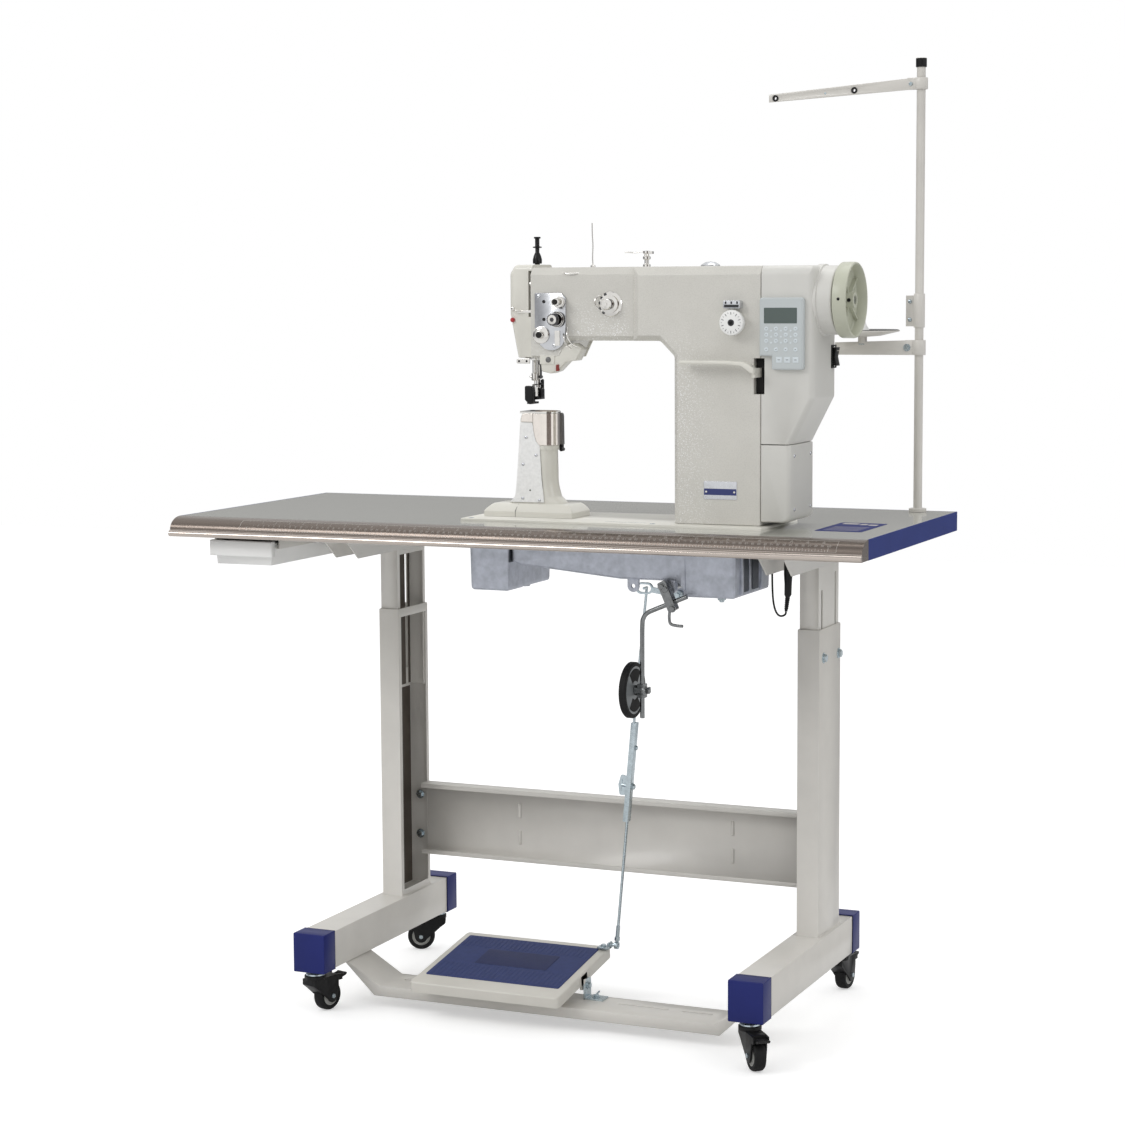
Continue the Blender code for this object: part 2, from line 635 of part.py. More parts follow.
def post_body():
    """Cast post on a chamfered foot, open at the top right for the rotary hook."""
    levels = [
        (0.8560, -0.0620, 0.0420), (0.8640, -0.0530, 0.0366), (0.8700, -0.0475, 0.0310),
        (0.8750, -0.0448, 0.0266), (0.8950, -0.0424, 0.0201), (0.9170, -0.0405, 0.0186),
        (0.9500, -0.0381, 0.0177), (0.9540, -0.0378, 0.0212), (0.9660, -0.0370, 0.0212),
        (1.0000, -0.0346, 0.0212), (POST_HEAD - GAP, -0.0319, 0.0212),
    ]
    column = loft([half_round(x_left, x_right, POST_HALF, z) for z, x_left, x_right in levels])
    rings = []
    for z, inset in ((BED_TOP + GAP, 0.0), (0.8500, 0.0), (0.8612, 0.0135)):
        left, right = -0.0945 + inset, 0.0650 - inset
        front, back = -0.1110 + inset, -0.0370 - inset * 0.5
        corners = [(left, front), (right, front), (right, back), (left, back)]
        rings.append([Vector((x, y, z)) for x, y in corners])
    solid = combine(loft(rings), add=[column])
    room = box((NEEDLE_X - 0.0050, 0.060), (NEEDLE_Y - 0.0175, NEEDLE_Y + 0.0175), (0.9565, 1.02))
    sides = box((HOOD_LEFT - GAP, 0.060), (-0.12, -0.02), (0.9565, 1.02))
    bore = cylinder("Z", HOOK_CENTRE, 0.0046, 0.880, 0.970, 16)
    place("post_body", combine(solid, cut=[room, sides, bore]), IVORY)


def post_cover():
    """Flat screwed plate on the front of the post."""
    outline = [
        (-0.0510, 0.8640), (0.0069, 0.8640), (0.0059, 0.8780), (0.0032, 0.8990), (0.0009, 0.9360),
        (-0.0004, 0.9552), (-0.0131, 0.9562), (-0.0132, 0.9929), (-0.0343, 0.9942), (-0.0376, 0.9540),
        (-0.0402, 0.9200), (-0.0422, 0.8950), (-0.0443, 0.8760), (-0.0470, 0.8706),
    ]
    place("post_cover", prism(outline, "Y", POST_FRONT - 0.0018, POST_FRONT - GAP), COVER_PAINT)


def hook_cover():
    """Polished throat plate with the half-round cover that wraps the hook."""
    skin = 0.0014
    outside = POST_HALF + 0.0006
    right = HOOK_CENTRE[0] + outside
    low, high = 0.9568, POST_HEAD + 0.0040
    hood = loft([half_round(HOOD_LEFT, right, outside, z) for z in (low, POST_HEAD + 0.001)])
    top = POST_HEAD + GAP
    room = loft([half_round(HOOD_LEFT - 0.01, right - skin, outside - skin, z) for z in (0.95, top)])
    plate = loft([half_round(-0.0353, right + 0.0008, outside + 0.0008, z) for z in (top, high)])
    needle_hole = cylinder("Z", (NEEDLE_X, NEEDLE_Y), 0.0016, 0.99, 1.03, 10)
    place("hook_cover", combine(combine(hood, cut=[room]), add=[plate], cut=[needle_hole]), STEEL)


def rotary_hook():
    """Vertical-axis hook and its bobbin case, on the shaft that turns it."""
    case = cylinder("Z", HOOK_CENTRE, HOOK_RADIUS, 0.9680, 1.0010, 24)
    shaft = cylinder("Z", HOOK_CENTRE, 0.0040, 0.8830, 0.9700, 16)
    well = cylinder("Z", HOOK_CENTRE, 0.0130, 0.9900, 1.0100, 16)
    place("rotary_hook", combine(case, add=[shaft], cut=[well]), STEEL, (*HOOK_CENTRE, 0.9680))


# ---------------------------------------------------------------- head
def head_section(x_low, x_high, rear=HEAD_REAR):
    """The head's cross-section, rounded along both top edges, as a solid to intersect with."""
    outline = [(HEAD_FRONT - 0.005, 0.80), (HEAD_FRONT - 0.005, 1.20), (HEAD_FRONT, 1.20)]
    outline += arc((HEAD_FRONT + HEAD_ROUND, HEAD_TOP - HEAD_ROUND), HEAD_ROUND, HEAD_ROUND, 180, 90, 5)
    outline += arc((rear - HEAD_ROUND, HEAD_TOP - HEAD_ROUND), HEAD_ROUND, HEAD_ROUND, 90, 0, 5)
    outline += [(rear, 1.20), (rear + 0.005, 1.20), (rear + 0.005, 0.80)]
    return prism(outline, "X", x_low, x_high)


def head_outline(inset=0.0):
    """Arm and column seen from the front; the inset narrows only the edges around the throat."""
    low = BED_TOP + GAP
    slant = 0.41 * inset
    return [
        (ARM_LEFT, 1.0996), (0.0480 - inset, 1.0996), (0.0620, ARM_UNDER + inset),
        (0.2217 + slant, ARM_UNDER + inset), (COLUMN_LEFT + inset, 1.1040 - slant),
        (COLUMN_LEFT + inset, low), (COLUMN_RIGHT, low),
        (COLUMN_RIGHT, HEAD_TOP + 0.01), (ARM_LEFT, HEAD_TOP + 0.01),
    ]


def lever_slot():
    """The slot for the reverse lever, which crosses the seam between casting and motor cover."""
    return box((0.3814, 0.3992), (-0.140, -0.060), (1.0460, 1.1020))


def head_casting():
    """Hollow arm and column, open at the back, with the bearings for the bars and the main shaft."""
    bevel = 0.0125
    seat = HEAD_REAR - 0.0025
    rings = []
    for inset, y in ((0.0, seat), (0.0, HEAD_FRONT + 0.011), (bevel, HEAD_FRONT)):
        rings.append([Vector((x, y, z)) for x, z in head_outline(inset)])
    solid = combine(loft(rings), keep=[head_section(-0.1, 0.5)])
    recess = [(-0.02, -0.14), (0.1914, -0.14), (0.1914, HEAD_FRONT), (0.1756, -0.118), (-0.02, -0.118)]
    wall = 0.006
    face = -0.112
    depth = (face, 0.01)
    right = COLUMN_RIGHT - wall
    arm_room = box((ARM_LEFT + wall, right), depth, (ARM_UNDER + wall, HEAD_TOP - wall))
    head_room = box((ARM_LEFT + wall, 0.0440), depth, (1.0996 + wall, ARM_UNDER + 0.02))
    column_room = box((COLUMN_LEFT + wall, right), depth, (BED_TOP + 0.010, ARM_UNDER + 0.02))
    shaft_axis = (NEEDLE_Y, SHAFT_Z)
    cuts = [prism(recess, "Z", 1.05, 1.30), arm_room, head_room, column_room, lever_slot()]
    cuts.append(cylinder("X", shaft_axis, 0.0078, -0.02, 0.45, 16))
    shell = combine(solid, cut=cuts)
    bearings = [
        box((-0.0255, ARM_LEFT + 0.001), (-0.079, -0.049), (1.2120, 1.2260)),
        box((-0.0255, ARM_LEFT + 0.001), (-0.079, -0.049), (1.1060, 1.1200)),
    ]
    bores = [
        cylinder("Z", (NEEDLE_X, NEEDLE_Y), 0.0040, 1.09, 1.24, 16),
        cylinder("Z", (NEEDLE_X, PRESSER_Y), 0.0039, 1.09, 1.24, 16),
    ]
    place("head_casting", combine(shell, add=bearings, cut=bores), IVORY)


def rear_cover():
    outline = head_outline()
    flat_top = HEAD_TOP - HEAD_ROUND
    outline = [(x, min(z, flat_top)) for x, z in outline]
    place("rear_cover", prism(outline, "Y", HEAD_REAR - 0.0025 + GAP, HEAD_REAR), IVORY)


def face_cover():
    """Hollow cover on the left end of the arm, slotted at its right for the take-up lever."""
    right = ARM_LEFT - GAP
    outline = [
        (-0.0310, 1.0996), (-0.0450, 1.1720), (-0.0450, 1.2360),
        (-0.0360, 1.2500), (right, 1.2500), (right, 1.0996),
    ]
    room = [
        (-0.0285, 1.0900), (-0.0425, 1.1720), (-0.0425, 1.2350),
        (-0.0350, 1.2475), (0.010, 1.2475), (0.010, 1.0900),
    ]
    shell = combine(prism(outline, "Y", -0.112, -0.030), cut=[prism(room, "Y", -0.1095, -0.0325)])
    slot = box((-0.0100, 0.0), (-0.120, -0.100), (1.1600, 1.2330))
    regulator_hole = cylinder("Z", (NEEDLE_X, PRESSER_Y), 0.0045, 1.24, 1.26, 12)
    place("face_cover", combine(shell, cut=[slot, regulator_hole]), IVORY)


MOTOR_AXIS = (NEEDLE_Y, SHAFT_Z)


def motor_cover_upper():
    """Moulded cover over the motor, with the round neck that leads to the handwheel."""
    low = 0.9680
    outline = [
        (COVER_LEFT, low), (0.4415, low), (COVER_RIGHT, 1.0400), (COVER_RIGHT, HEAD_TOP + 0.01),
        (COVER_LEFT, HEAD_TOP + 0.01),
    ]
    wall = 0.003
    room = [
        (COVER_LEFT - 0.01, low + wall), (0.4395, low + wall), (COVER_RIGHT - wall, 1.0420),
        (COVER_RIGHT - wall, HEAD_TOP - wall), (COVER_LEFT - 0.01, HEAD_TOP - wall),
    ]
    solid = combine(prism(outline, "Y", HEAD_FRONT, HEAD_REAR), keep=[head_section(0.3, 0.6)])
    neck = cone("X", MOTOR_AXIS, (0.0538, 0.0535), COVER_RIGHT - 0.002, 0.5040, 28)
    cuts = [
        prism(room, "Y", -0.122, HEAD_REAR - wall),
        cylinder("X", MOTOR_AXIS, 0.0500, 0.45, 0.5010, 28),
        cylinder("X", MOTOR_AXIS, 0.0078, 0.49, 0.52, 16),
        box((COVER_RIGHT - 0.005, COVER_RIGHT + 0.005), (-0.0388, -0.0192), (1.0865, 1.1185)),
        lever_slot(),
    ]
    place("motor_cover_upper", combine(combine(solid, add=[neck]), cut=cuts), COVER_PAINT)


def motor_cover_lower():
    low, high, right = 0.8460, 0.9680 - GAP, 0.4415
    wall = 0.0025
    shell = box((COVER_LEFT, right), (HEAD_FRONT, HEAD_REAR), (low, high))
    room_y = (HEAD_FRONT + wall, HEAD_REAR - wall)
    room = box((COVER_LEFT - 0.01, right - wall), room_y, (low + wall, high - wall))
    place("motor_cover_lower", combine(shell, cut=[room]), COVER_PAINT)


def motor_stator():
    """Stator ring of the direct-drive motor, around the rotor on the main shaft."""
    profile = [(0.0310, 0.4080), (0.0455, 0.4080), (0.0455, 0.4640), (0.0310, 0.4640)]
    place("motor_stator", turned("X", MOTOR_AXIS, profile, 24), COPPER)


def main_shaft():
    """Main shaft with the motor's rotor and the needle bar's crank disc at its left end."""
    shaft = cylinder("X", MOTOR_AXIS, 0.0070, 0.0040, 0.5250, 16)
    rotor = cylinder("X", MOTOR_AXIS, 0.0290, 0.4100, 0.4620, 20)
    crank = cylinder("X", MOTOR_AXIS, 0.0160, 0.0040, 0.0120, 16)
    pulley = cylinder("X", MOTOR_AXIS, 0.0240, 0.3100, 0.3300, 20)
    place("main_shaft", combine(shaft, add=[rotor, crank, pulley]), STEEL, (0.4360, *MOTOR_AXIS))


def handwheel():
    """Cup-shaped handwheel, open to the right."""
    left, right = 0.5060, 0.5290
    profile = [
        (0.0073, left), (0.0565, left), (0.0590, left + 0.0025), (0.0590, right), (0.0545, right),
        (0.0530, left + 0.006), (0.0120, left + 0.005), (0.0120, right - 0.002), (0.0073, right - 0.002),
    ]
    place("handwheel", turned("X", MOTOR_AXIS, profile, 28), WHEEL_PAINT, (left, *MOTOR_AXIS))


def control_panel():
    """Raised operator panel with a notch beside the lever slot."""
    outline = [
        (0.4135, 1.0846), (0.4650, 1.0846), (0.4650, 1.1958),
        (0.3935, 1.1958), (0.3935, 1.1057), (0.4135, 1.1057),
    ]
    place("control_panel", prism(outline, "Y", HEAD_FRONT - 0.0085, HEAD_FRONT - GAP), COVER_PAINT)


def power_switch():
    """Rocker of the mains switch on the side of the motor cover."""
    x = COVER_RIGHT + 0.0030
    outline = [
        (COVER_RIGHT + 0.0012, 1.0880), (x + 0.0050, 1.0880), (x + 0.0020, 1.1025), (x + 0.0050, 1.1170),
        (COVER_RIGHT + 0.0012, 1.1170),
    ]
    place("power_switch", prism(outline, "Y", -0.0380, -0.0200), BLACK_PLASTIC, (x, -0.029, 1.1025))


LEVER_AXIS = (-0.092, 1.078)


def reverse_lever():
    """Reverse-feed lever: a blade across the column, on an arm through the slot."""
    blade = box((0.2666, 0.3905), (-0.1580, -0.1390), (1.0920, 1.0980))
    arm = box((0.3845, 0.3905), (-0.1500, -0.0860), (1.0720, 1.0930))
    pin = cylinder("X", LEVER_AXIS, 0.0030, 0.3825, 0.3925, 10)
    place("reverse_lever", combine(blade, add=[arm, pin]), IVORY, (0.3875, *LEVER_AXIS))


def stitch_dial():
    centre = (0.3513, 1.1572)
    disc = cylinder("Y", centre, 0.0195, -0.1520, -0.1425, 28)
    boss = cylinder("Y", centre, 0.0165, -0.1430, HEAD_FRONT - GAP, 20)
    place("stitch_dial", combine(disc, add=[boss]), WHITE_PLASTIC, (centre[0], HEAD_FRONT, centre[1]))


def needle_bar():
    """Needle bar with its clamp and needle."""
    centre = (NEEDLE_X, NEEDLE_Y)
    bar = cylinder("Z", centre, 0.0036, 1.0660, 1.2340, 16)
    clamp = cylinder("Z", centre, 0.0052, 1.0620, 1.0740, 16)
    needle = cone("Z", centre, (0.0003, 0.0008), 1.0320, 1.0360, 8)
    shank = cylinder("Z", centre, 0.0008, 1.0355, 1.0640, 8)
    place("needle_bar", combine(bar, add=[clamp, combine(shank, add=[needle])]), STEEL, (*centre, 1.0620))


def presser_bar():
    """Presser bar with its clamped foot; the needle passes through the slot in the sole."""
    bar = cylinder("Z", (NEEDLE_X, PRESSER_Y), 0.0035, 1.0300, 1.2340, 16)
    shank = box((NEEDLE_X - 0.0045, NEEDLE_X + 0.0045), (-0.0630, -0.0500), (1.0280, 1.0520))
    sole = box((-0.0300, -0.0070), (-0.0920, -0.0480), (1.0236, 1.0290))
    toe_outline = [(-0.0310, 1.0340), (-0.0225, 1.0236), (-0.0130, 1.0236), (-0.0118, 1.0500)]
    toe_outline += [(-0.0150, 1.0523), (-0.0310, 1.0523)]
    toe = prism(toe_outline, "Y", -0.0940, -0.0810)
    slot = box((NEEDLE_X - 0.0035, NEEDLE_X + 0.0035), (-0.0770, -0.0650), (1.01, 1.04))
    foot = combine(bar, add=[shank, sole, toe], cut=[slot])
    place("presser_bar", foot, BLACK_PLASTIC, (NEEDLE_X, PRESSER_Y, 1.0236))


def presser_regulator():
    """Knurled screw that sets the presser spring."""
    centre = (NEEDLE_X, PRESSER_Y)
    stem = cylinder("Z", centre, 0.0038, 1.2380, 1.2945, 14)
    nut = cone("Z", centre, (0.0075, 0.0045), 1.2520, 1.2680, 14)
    collar = cylinder("Z", centre, 0.0072, 1.2780, 1.2800, 14)
    cap = cylinder("Z", centre, 0.0055, 1.2930, 1.2953, 14)
    place("presser_regulator", combine(stem, add=[nut, collar, cap]), BLACK_PLASTIC, (*centre, 1.2500))


def take_up_lever():
    """Take-up lever that swings in the slot beside the face cover."""
    pivot = (-0.058, 1.180)
    outline = [(-0.0540, 1.1760), (-0.0540, 1.1850), (-0.1060, 1.2245), (-0.1115, 1.2225)]
    outline += [(-0.1080, 1.2165), (-0.0620, 1.1760)]
    place("take_up_lever", prism(outline, "X", -0.0085, -0.0060), STEEL, (-0.0072, *pivot))


def tension_plate():
    outline = [(0.0052, 1.2042), (0.0052, 1.1500)]
    outline += arc((0.0340, 1.1340), 0.0240, 0.0218, 180, 345, 8)
    outline += [(0.0595, 1.1500), (0.0595, 1.1960), (0.0520, 1.2042)]
    place("tension_plate", prism(outline, "Y", -0.1222, -0.1183), STEEL)


def tension_knob():
    centre = (0.0475, 1.1620)
    nut = cylinder("Y", centre, 0.0095, -0.1500, -0.1400, 18)
    discs = cylinder("Y", centre, 0.0125, -0.1300, -0.1225, 20)
    stem = cylinder("Y", centre, 0.0040, -0.1510, -0.1250, 12)
    place("tension_knob", combine(nut, add=[stem, discs]), STEEL, (centre[0], -0.1225, centre[1]))


def knee_lifter():
    """Knee-lift shaft, clamp block, bent bar and round pad, turning together."""
    x, y, z = KNEE_PIVOT
    shaft = cylinder("Y", (x, z), 0.0050, -0.178, -0.062, 14)
    block_outline = [(0.2360, 0.7490), (0.2500, 0.7555), (0.2690, 0.7085), (0.2560, 0.7020)]
    block = prism(block_outline, "Y", -0.1745, -0.1585)
    bends = [(0.2840, 0.7285), (0.2200, 0.7025), (0.2110, 0.6960), (0.2078, 0.6860), (0.2075, 0.5310)]
    bar = rod([(across, y, up) for across, up in bends], 0.0038)
    pad = cylinder("X", (y, 0.5751), 0.0450, 0.1840, 0.1960, 28)
    hub = cylinder("X", (y, 0.5751), 0.0085, 0.1950, 0.2220, 14)
    place("knee_lifter", combine(shaft, add=[block, bar, hub, pad]), ZINC, KNEE_PIVOT)


# ---------------------------------------------------------------- thread stand
def stand_pole():
    """Pole with its table flange, the clamp that joins its halves, and its end cap."""
    centre = (POLE_X, POLE_Y)
    pole = cylinder("Z", centre, POLE_RADIUS, TABLE_TOP + GAP, POLE_TOP - 0.010, 20)
    flange = cylinder("Z", centre, 0.0145, TABLE_TOP + GAP, TABLE_TOP + 0.006, 24)
    sleeve = cylinder("Z", centre, 0.0092, 1.1430, 1.1990, 20)
    plate = box((POLE_X - 0.0225, POLE_X), (POLE_Y - 0.0015, POLE_Y + 0.0015), (1.1450, 1.1960))
    cap = cylinder("Z", centre, 0.0088, POLE_TOP - 0.0145, POLE_TOP, 20)
    place("stand_pole", combine(pole, add=[flange, sleeve, plate, cap]), STAND_PAINT)


def collar(low, high):
    return turned("Z", (POLE_X, POLE_Y), [
        (POLE_RADIUS + 0.0003, low), (POLE_RADIUS + 0.0038, low),
        (POLE_RADIUS + 0.0038, high), (POLE_RADIUS + 0.0003, high)], 20)


def thread_arm():
    """Upper arm that carries the thread guides, angled slightly down."""
    reach = 0.262
    root = POLE_X - POLE_RADIUS - 0.0030
    droop = math.tan(math.radians(3.4))
    low, high = 1.5330, 1.5520
    outline = [
        (root, low), (root, high), (POLE_X - reach, high - 0.004 - (reach - 0.01) * droop),
        (POLE_X - reach, low + 0.002 - (reach - 0.01) * droop),
    ]
    strip = prism(outline, "Y", POLE_Y - 0.0055, POLE_Y - 0.0030)
    foot = box((root - 0.012, root + 0.001), (POLE_Y - 0.0055, POLE_Y + 0.0055), (low, high))
    holes = []
    for x, z in ((0.2885, 1.5265), (0.4262, 1.5350)):
        holes.append(cylinder("Y", (x, z), 0.0036, POLE_Y - 0.02, POLE_Y + 0.02, 12))
    arm = combine(collar(low, high), add=[foot, strip], cut=holes)
    place("thread_arm", arm, STAND_PAINT, (POLE_X, POLE_Y, low))


def spool_arm():
    """Lower arm with the dished spool plate and its pin."""
    low, high = 1.0975, 1.1222
    root = POLE_X - POLE_RADIUS - 0.0030
    tip = 0.3950
    outline = [(root, low), (root, high), (tip, high - 0.004), (tip, low)]
    strip = prism(outline, "Y", POLE_Y - 0.0060, POLE_Y - 0.0030)
    flange = box((tip + 0.004, root), (POLE_Y - 0.0060, POLE_Y + 0.0100), (high - 0.0065, high - 0.0045))
    foot = box((root - 0.012, root + 0.001), (POLE_Y - 0.0060, POLE_Y + 0.0060), (low, high))
    centre = (SPOOL_X, POLE_Y)
    dish = [
        (0.0, 1.1270), (0.0300, 1.1290), (SPOOL_RADIUS, 1.1365),
        (SPOOL_RADIUS, 1.1385), (0.0320, 1.1345), (0.0, 1.1340),
    ]
    rings = []
    for radius, z in dish:
        rings.append([point("Z", a, b, z) for a, b in circle(centre, max(radius, 0.0008), 28, math.pi / 2)])
    plate = loft(rings)
    post = cylinder("Z", centre, 0.0075, high - 0.0070, 1.1300, 16)
    pin = cone("Z", centre, (0.0110, 0.0035), 1.1335, 1.1560, 16)
    arm = combine(collar(low, high), add=[foot, strip, flange, post, plate, pin])
    place("spool_arm", arm, STAND_PAINT, (POLE_X, POLE_Y, low))


# ---------------------------------------------------------------- control lead
LEAD_Y = -0.040
LEAD_RADIUS = 0.0016
CONNECTOR_X = 0.4085
CONNECTOR_TIP = (0.4050, 0.6960)
LEAD_ROUTE = [
    (0.4050, 0.6954), (0.4038, 0.6912), (0.3980, 0.6882), (0.3918, 0.6900), (0.3868, 0.6978),
    (0.3835, 0.7120), (0.3820, 0.7340), (0.3815, 0.7660), (0.3815, 0.8035),
]


def smooth_route(route, steps):
    """Points along a Catmull-Rom curve through a route."""
    knots = [Vector(knot) for knot in route]
    knots = [knots[0] * 2 - knots[1], *knots, knots[-1] * 2 - knots[-2]]
    points = []
    for a, b, c, d in zip(knots, knots[1:], knots[2:], knots[3:]):
        for step in range(steps):
            t = step / steps
            square = a * 2 - b * 5 + c * 4 - d
            cube = b * 3 - a - c * 3 + d
            points.append((b * 2 + (c - a) * t + square * t * t + cube * t ** 3) / 2)
    return [*points, knots[-2]]


def lead_connector():
    """In-line plug hanging from the bracket channel, with its tapered strain relief."""
    tip_x, tip_z = CONNECTOR_TIP
    sections = [
        (CONNECTOR_X, TABLE_UNDER - 0.0036, 0.0068), (CONNECTOR_X, 0.7560, 0.0070),
        (CONNECTOR_X, 0.7400, 0.0060), (CONNECTOR_X - 0.0004, 0.7230, 0.0058),
        (CONNECTOR_X - 0.0008, 0.7190, 0.0036), (tip_x, tip_z, 0.0024),
    ]
    rings = []
    for x, z, radius in sections:
        rings.append([point("Z", a, b, z) for a, b in circle((x, LEAD_Y), radius, 14)])
    place("lead_connector", loft(rings), BLACK_PLASTIC)


def control_lead():
    """Captive lead: from the plug's strain relief, in a hanging loop, up into the table."""
    curve = bpy.data.curves.new("control_lead", "CURVE")
    curve.dimensions = "3D"
    spline = curve.splines.new("POLY")
    route = smooth_route(LEAD_ROUTE, 3)
    spline.points.add(len(route) - 1)
    for spot, (x, z) in zip(spline.points, route):
        spot.co = (x, LEAD_Y, z, 1.0)
    curve.bevel_depth = LEAD_RADIUS
    curve.bevel_resolution = 2
    curve.use_fill_caps = True
    curve.materials.append(BLACK_RUBBER)
    lead = bpy.data.objects.new("control_lead", curve)
    lead.location = (0.0, BENCH_Y, 0.0)
    bpy.context.scene.collection.objects.link(lead)


def build():
    for side in ("left", "right"):
        leg_with_foot(side)
        foot_caps(side)
        table_bracket(side)
        for end in ("front", "rear"):
            caster(side, end)
    for make in (
        stretcher, treadle_bar, pedal, pull_rod, control_lever, tabletop, front_edge, drawer_rail,
        drawer, bed_plate, oil_pan, post_body, post_cover, hook_cover, rotary_hook, head_casting,
        rear_cover, face_cover, motor_cover_upper, motor_cover_lower, motor_stator, main_shaft,
        handwheel, control_panel, power_switch, reverse_lever, stitch_dial, needle_bar,
        presser_bar, presser_regulator, take_up_lever, tension_plate, tension_knob, knee_lifter,
        stand_pole, thread_arm, spool_arm, lead_connector, control_lead,
    ):
        make()


build()
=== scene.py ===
"""Looks of the post-bed leather sewing machine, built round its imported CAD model.

Pieces are drawn in bench coordinates, in millimetres: +X to the operator's right, +Y away from the
operator, +Z up, with the origin on the floor under the middle of the table. The camera, the lights,
the looks and the lead are laid out in metres. Rotations are in degrees where they meet math.radians.
"""
import math

import bmesh
import bpy
from mathutils import Matrix, Vector


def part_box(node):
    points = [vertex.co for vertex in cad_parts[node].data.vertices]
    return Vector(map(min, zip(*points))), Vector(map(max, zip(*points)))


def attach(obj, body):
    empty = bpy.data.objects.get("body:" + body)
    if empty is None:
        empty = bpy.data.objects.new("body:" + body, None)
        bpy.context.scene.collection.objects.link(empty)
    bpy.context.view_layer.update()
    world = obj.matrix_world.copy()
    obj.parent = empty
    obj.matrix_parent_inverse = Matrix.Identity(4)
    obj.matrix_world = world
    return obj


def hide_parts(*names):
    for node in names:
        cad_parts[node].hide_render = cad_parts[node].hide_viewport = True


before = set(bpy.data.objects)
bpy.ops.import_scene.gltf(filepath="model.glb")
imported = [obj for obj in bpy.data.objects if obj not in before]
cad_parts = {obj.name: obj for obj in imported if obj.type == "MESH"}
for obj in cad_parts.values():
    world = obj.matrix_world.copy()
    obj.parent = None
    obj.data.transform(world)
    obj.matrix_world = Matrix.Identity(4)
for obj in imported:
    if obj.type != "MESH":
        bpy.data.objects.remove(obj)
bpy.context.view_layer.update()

MM = 0.001
FRONT_REACH = 0.273
BENCH = Vector((0.0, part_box("front_edge")[0].y + FRONT_REACH, 0.0))
TO_FRAME = Matrix.Translation(BENCH) @ Matrix.Scale(MM, 4)
SIDES = {"left": -368, "right": 406}
STEMS = {"front": -212, "rear": 245}
HEADINGS = {"front_left": 75.0, "rear_left": 204.0, "front_right": -51.0, "rear_right": 84.0}
SHAFT = (-71, 1191)
NEEDLE = (-18.5, -71)
PRESSER = (-18.5, -57)
POLE = (539, 246.4)
HOOK = (1, -71)
POST_HALF = 21.5
HOOD_LEFT = -12.4
HOOD_RIGHT = 24.9

CAMERA_PLACE = Vector((1.71769, -3.91976, 1.21692))
CAMERA_YAW = 0.41345
CAMERA_PITCH = -0.107426
CAMERA_ROLL = 0.00626
WALL_SIDE = (0.656, -0.755, 0.0)
FLOOR_REACH = 7.0
SKY_LEVELS = [(0.0, (0.20, 0.20, 0.21)), (0.10, 0.30), (0.34, 0.95), (1.0, 1.0)]
WALL_LEVELS = [(0.0, (0.36, 0.36, 0.37)), (0.16, 0.92), (0.925, 1.0), (0.955, (0.16, 0.13, 0.12))]


# ---------------------------------------------------------------- camera, light and floor
def make_camera():
    data = bpy.data.cameras.new("camera")
    data.lens = 82.35
    data.sensor_width = 36.0
    data.clip_end = 60.0
    camera = bpy.data.objects.new("camera", data)
    turn = Matrix.Rotation(CAMERA_YAW, 4, "Z") @ Matrix.Rotation(CAMERA_PITCH, 4, "X")
    turn = turn @ Matrix.Rotation(CAMERA_ROLL, 4, "Y") @ Matrix.Rotation(math.pi / 2, 4, "X")
    camera.matrix_world = Matrix.Translation(CAMERA_PLACE + BENCH) @ turn
    bpy.context.scene.collection.objects.link(camera)
    bpy.context.scene.camera = camera


def add_node(tree, kind, values=(), **settings):
    """Add a shader node. Each value is a constant for its socket, or the output that feeds it."""
    node = tree.nodes.new("ShaderNode" + kind)
    for name, value in settings.items():
        setattr(node, name, value)
    for socket, value in dict(values).items():
        if isinstance(value, bpy.types.NodeSocket):
            tree.links.new(value, node.inputs[socket])
        else:
            node.inputs[socket].default_value = value
    return node


def add_ramp(tree, value, stops):
    """A colour that follows a value through stops, each a position and a grey level or a colour."""
    node = add_node(tree, "ValToRGB", {"Fac": value})
    colors = []
    for position, color in stops:
        levels = color if isinstance(color, (tuple, list)) else (color, color, color)
        colors.append((position, (*levels, 1.0)))
    elements = node.color_ramp.elements
    for element, (position, color) in zip(elements, (colors[0], colors[-1])):
        element.position = position
        element.color = color
    for position, color in colors[1:-1]:
        elements.new(position).color = color
    return node.outputs["Color"]


def mix_colors(tree, share, first, second):
    return add_node(tree, "Mix", {0: share, 6: first, 7: second}, data_type="RGBA").outputs[2]


def multiply(tree, first, second):
    return add_node(tree, "Math", {0: first, 1: second}, operation="MULTIPLY").outputs[0]


def area_light(name, location, size, power, target=(0.0, 0.0, 0.8)):
    data = bpy.data.lights.new(name, "AREA")
    data.shape = "DISK"
    data.size = size
    data.energy = power
    light = bpy.data.objects.new(name, data)
    light.location = location
    light.rotation_euler = (Vector(target) - Vector(location)).to_track_quat("-Z", "Y").to_euler()
    bpy.context.scene.collection.objects.link(light)


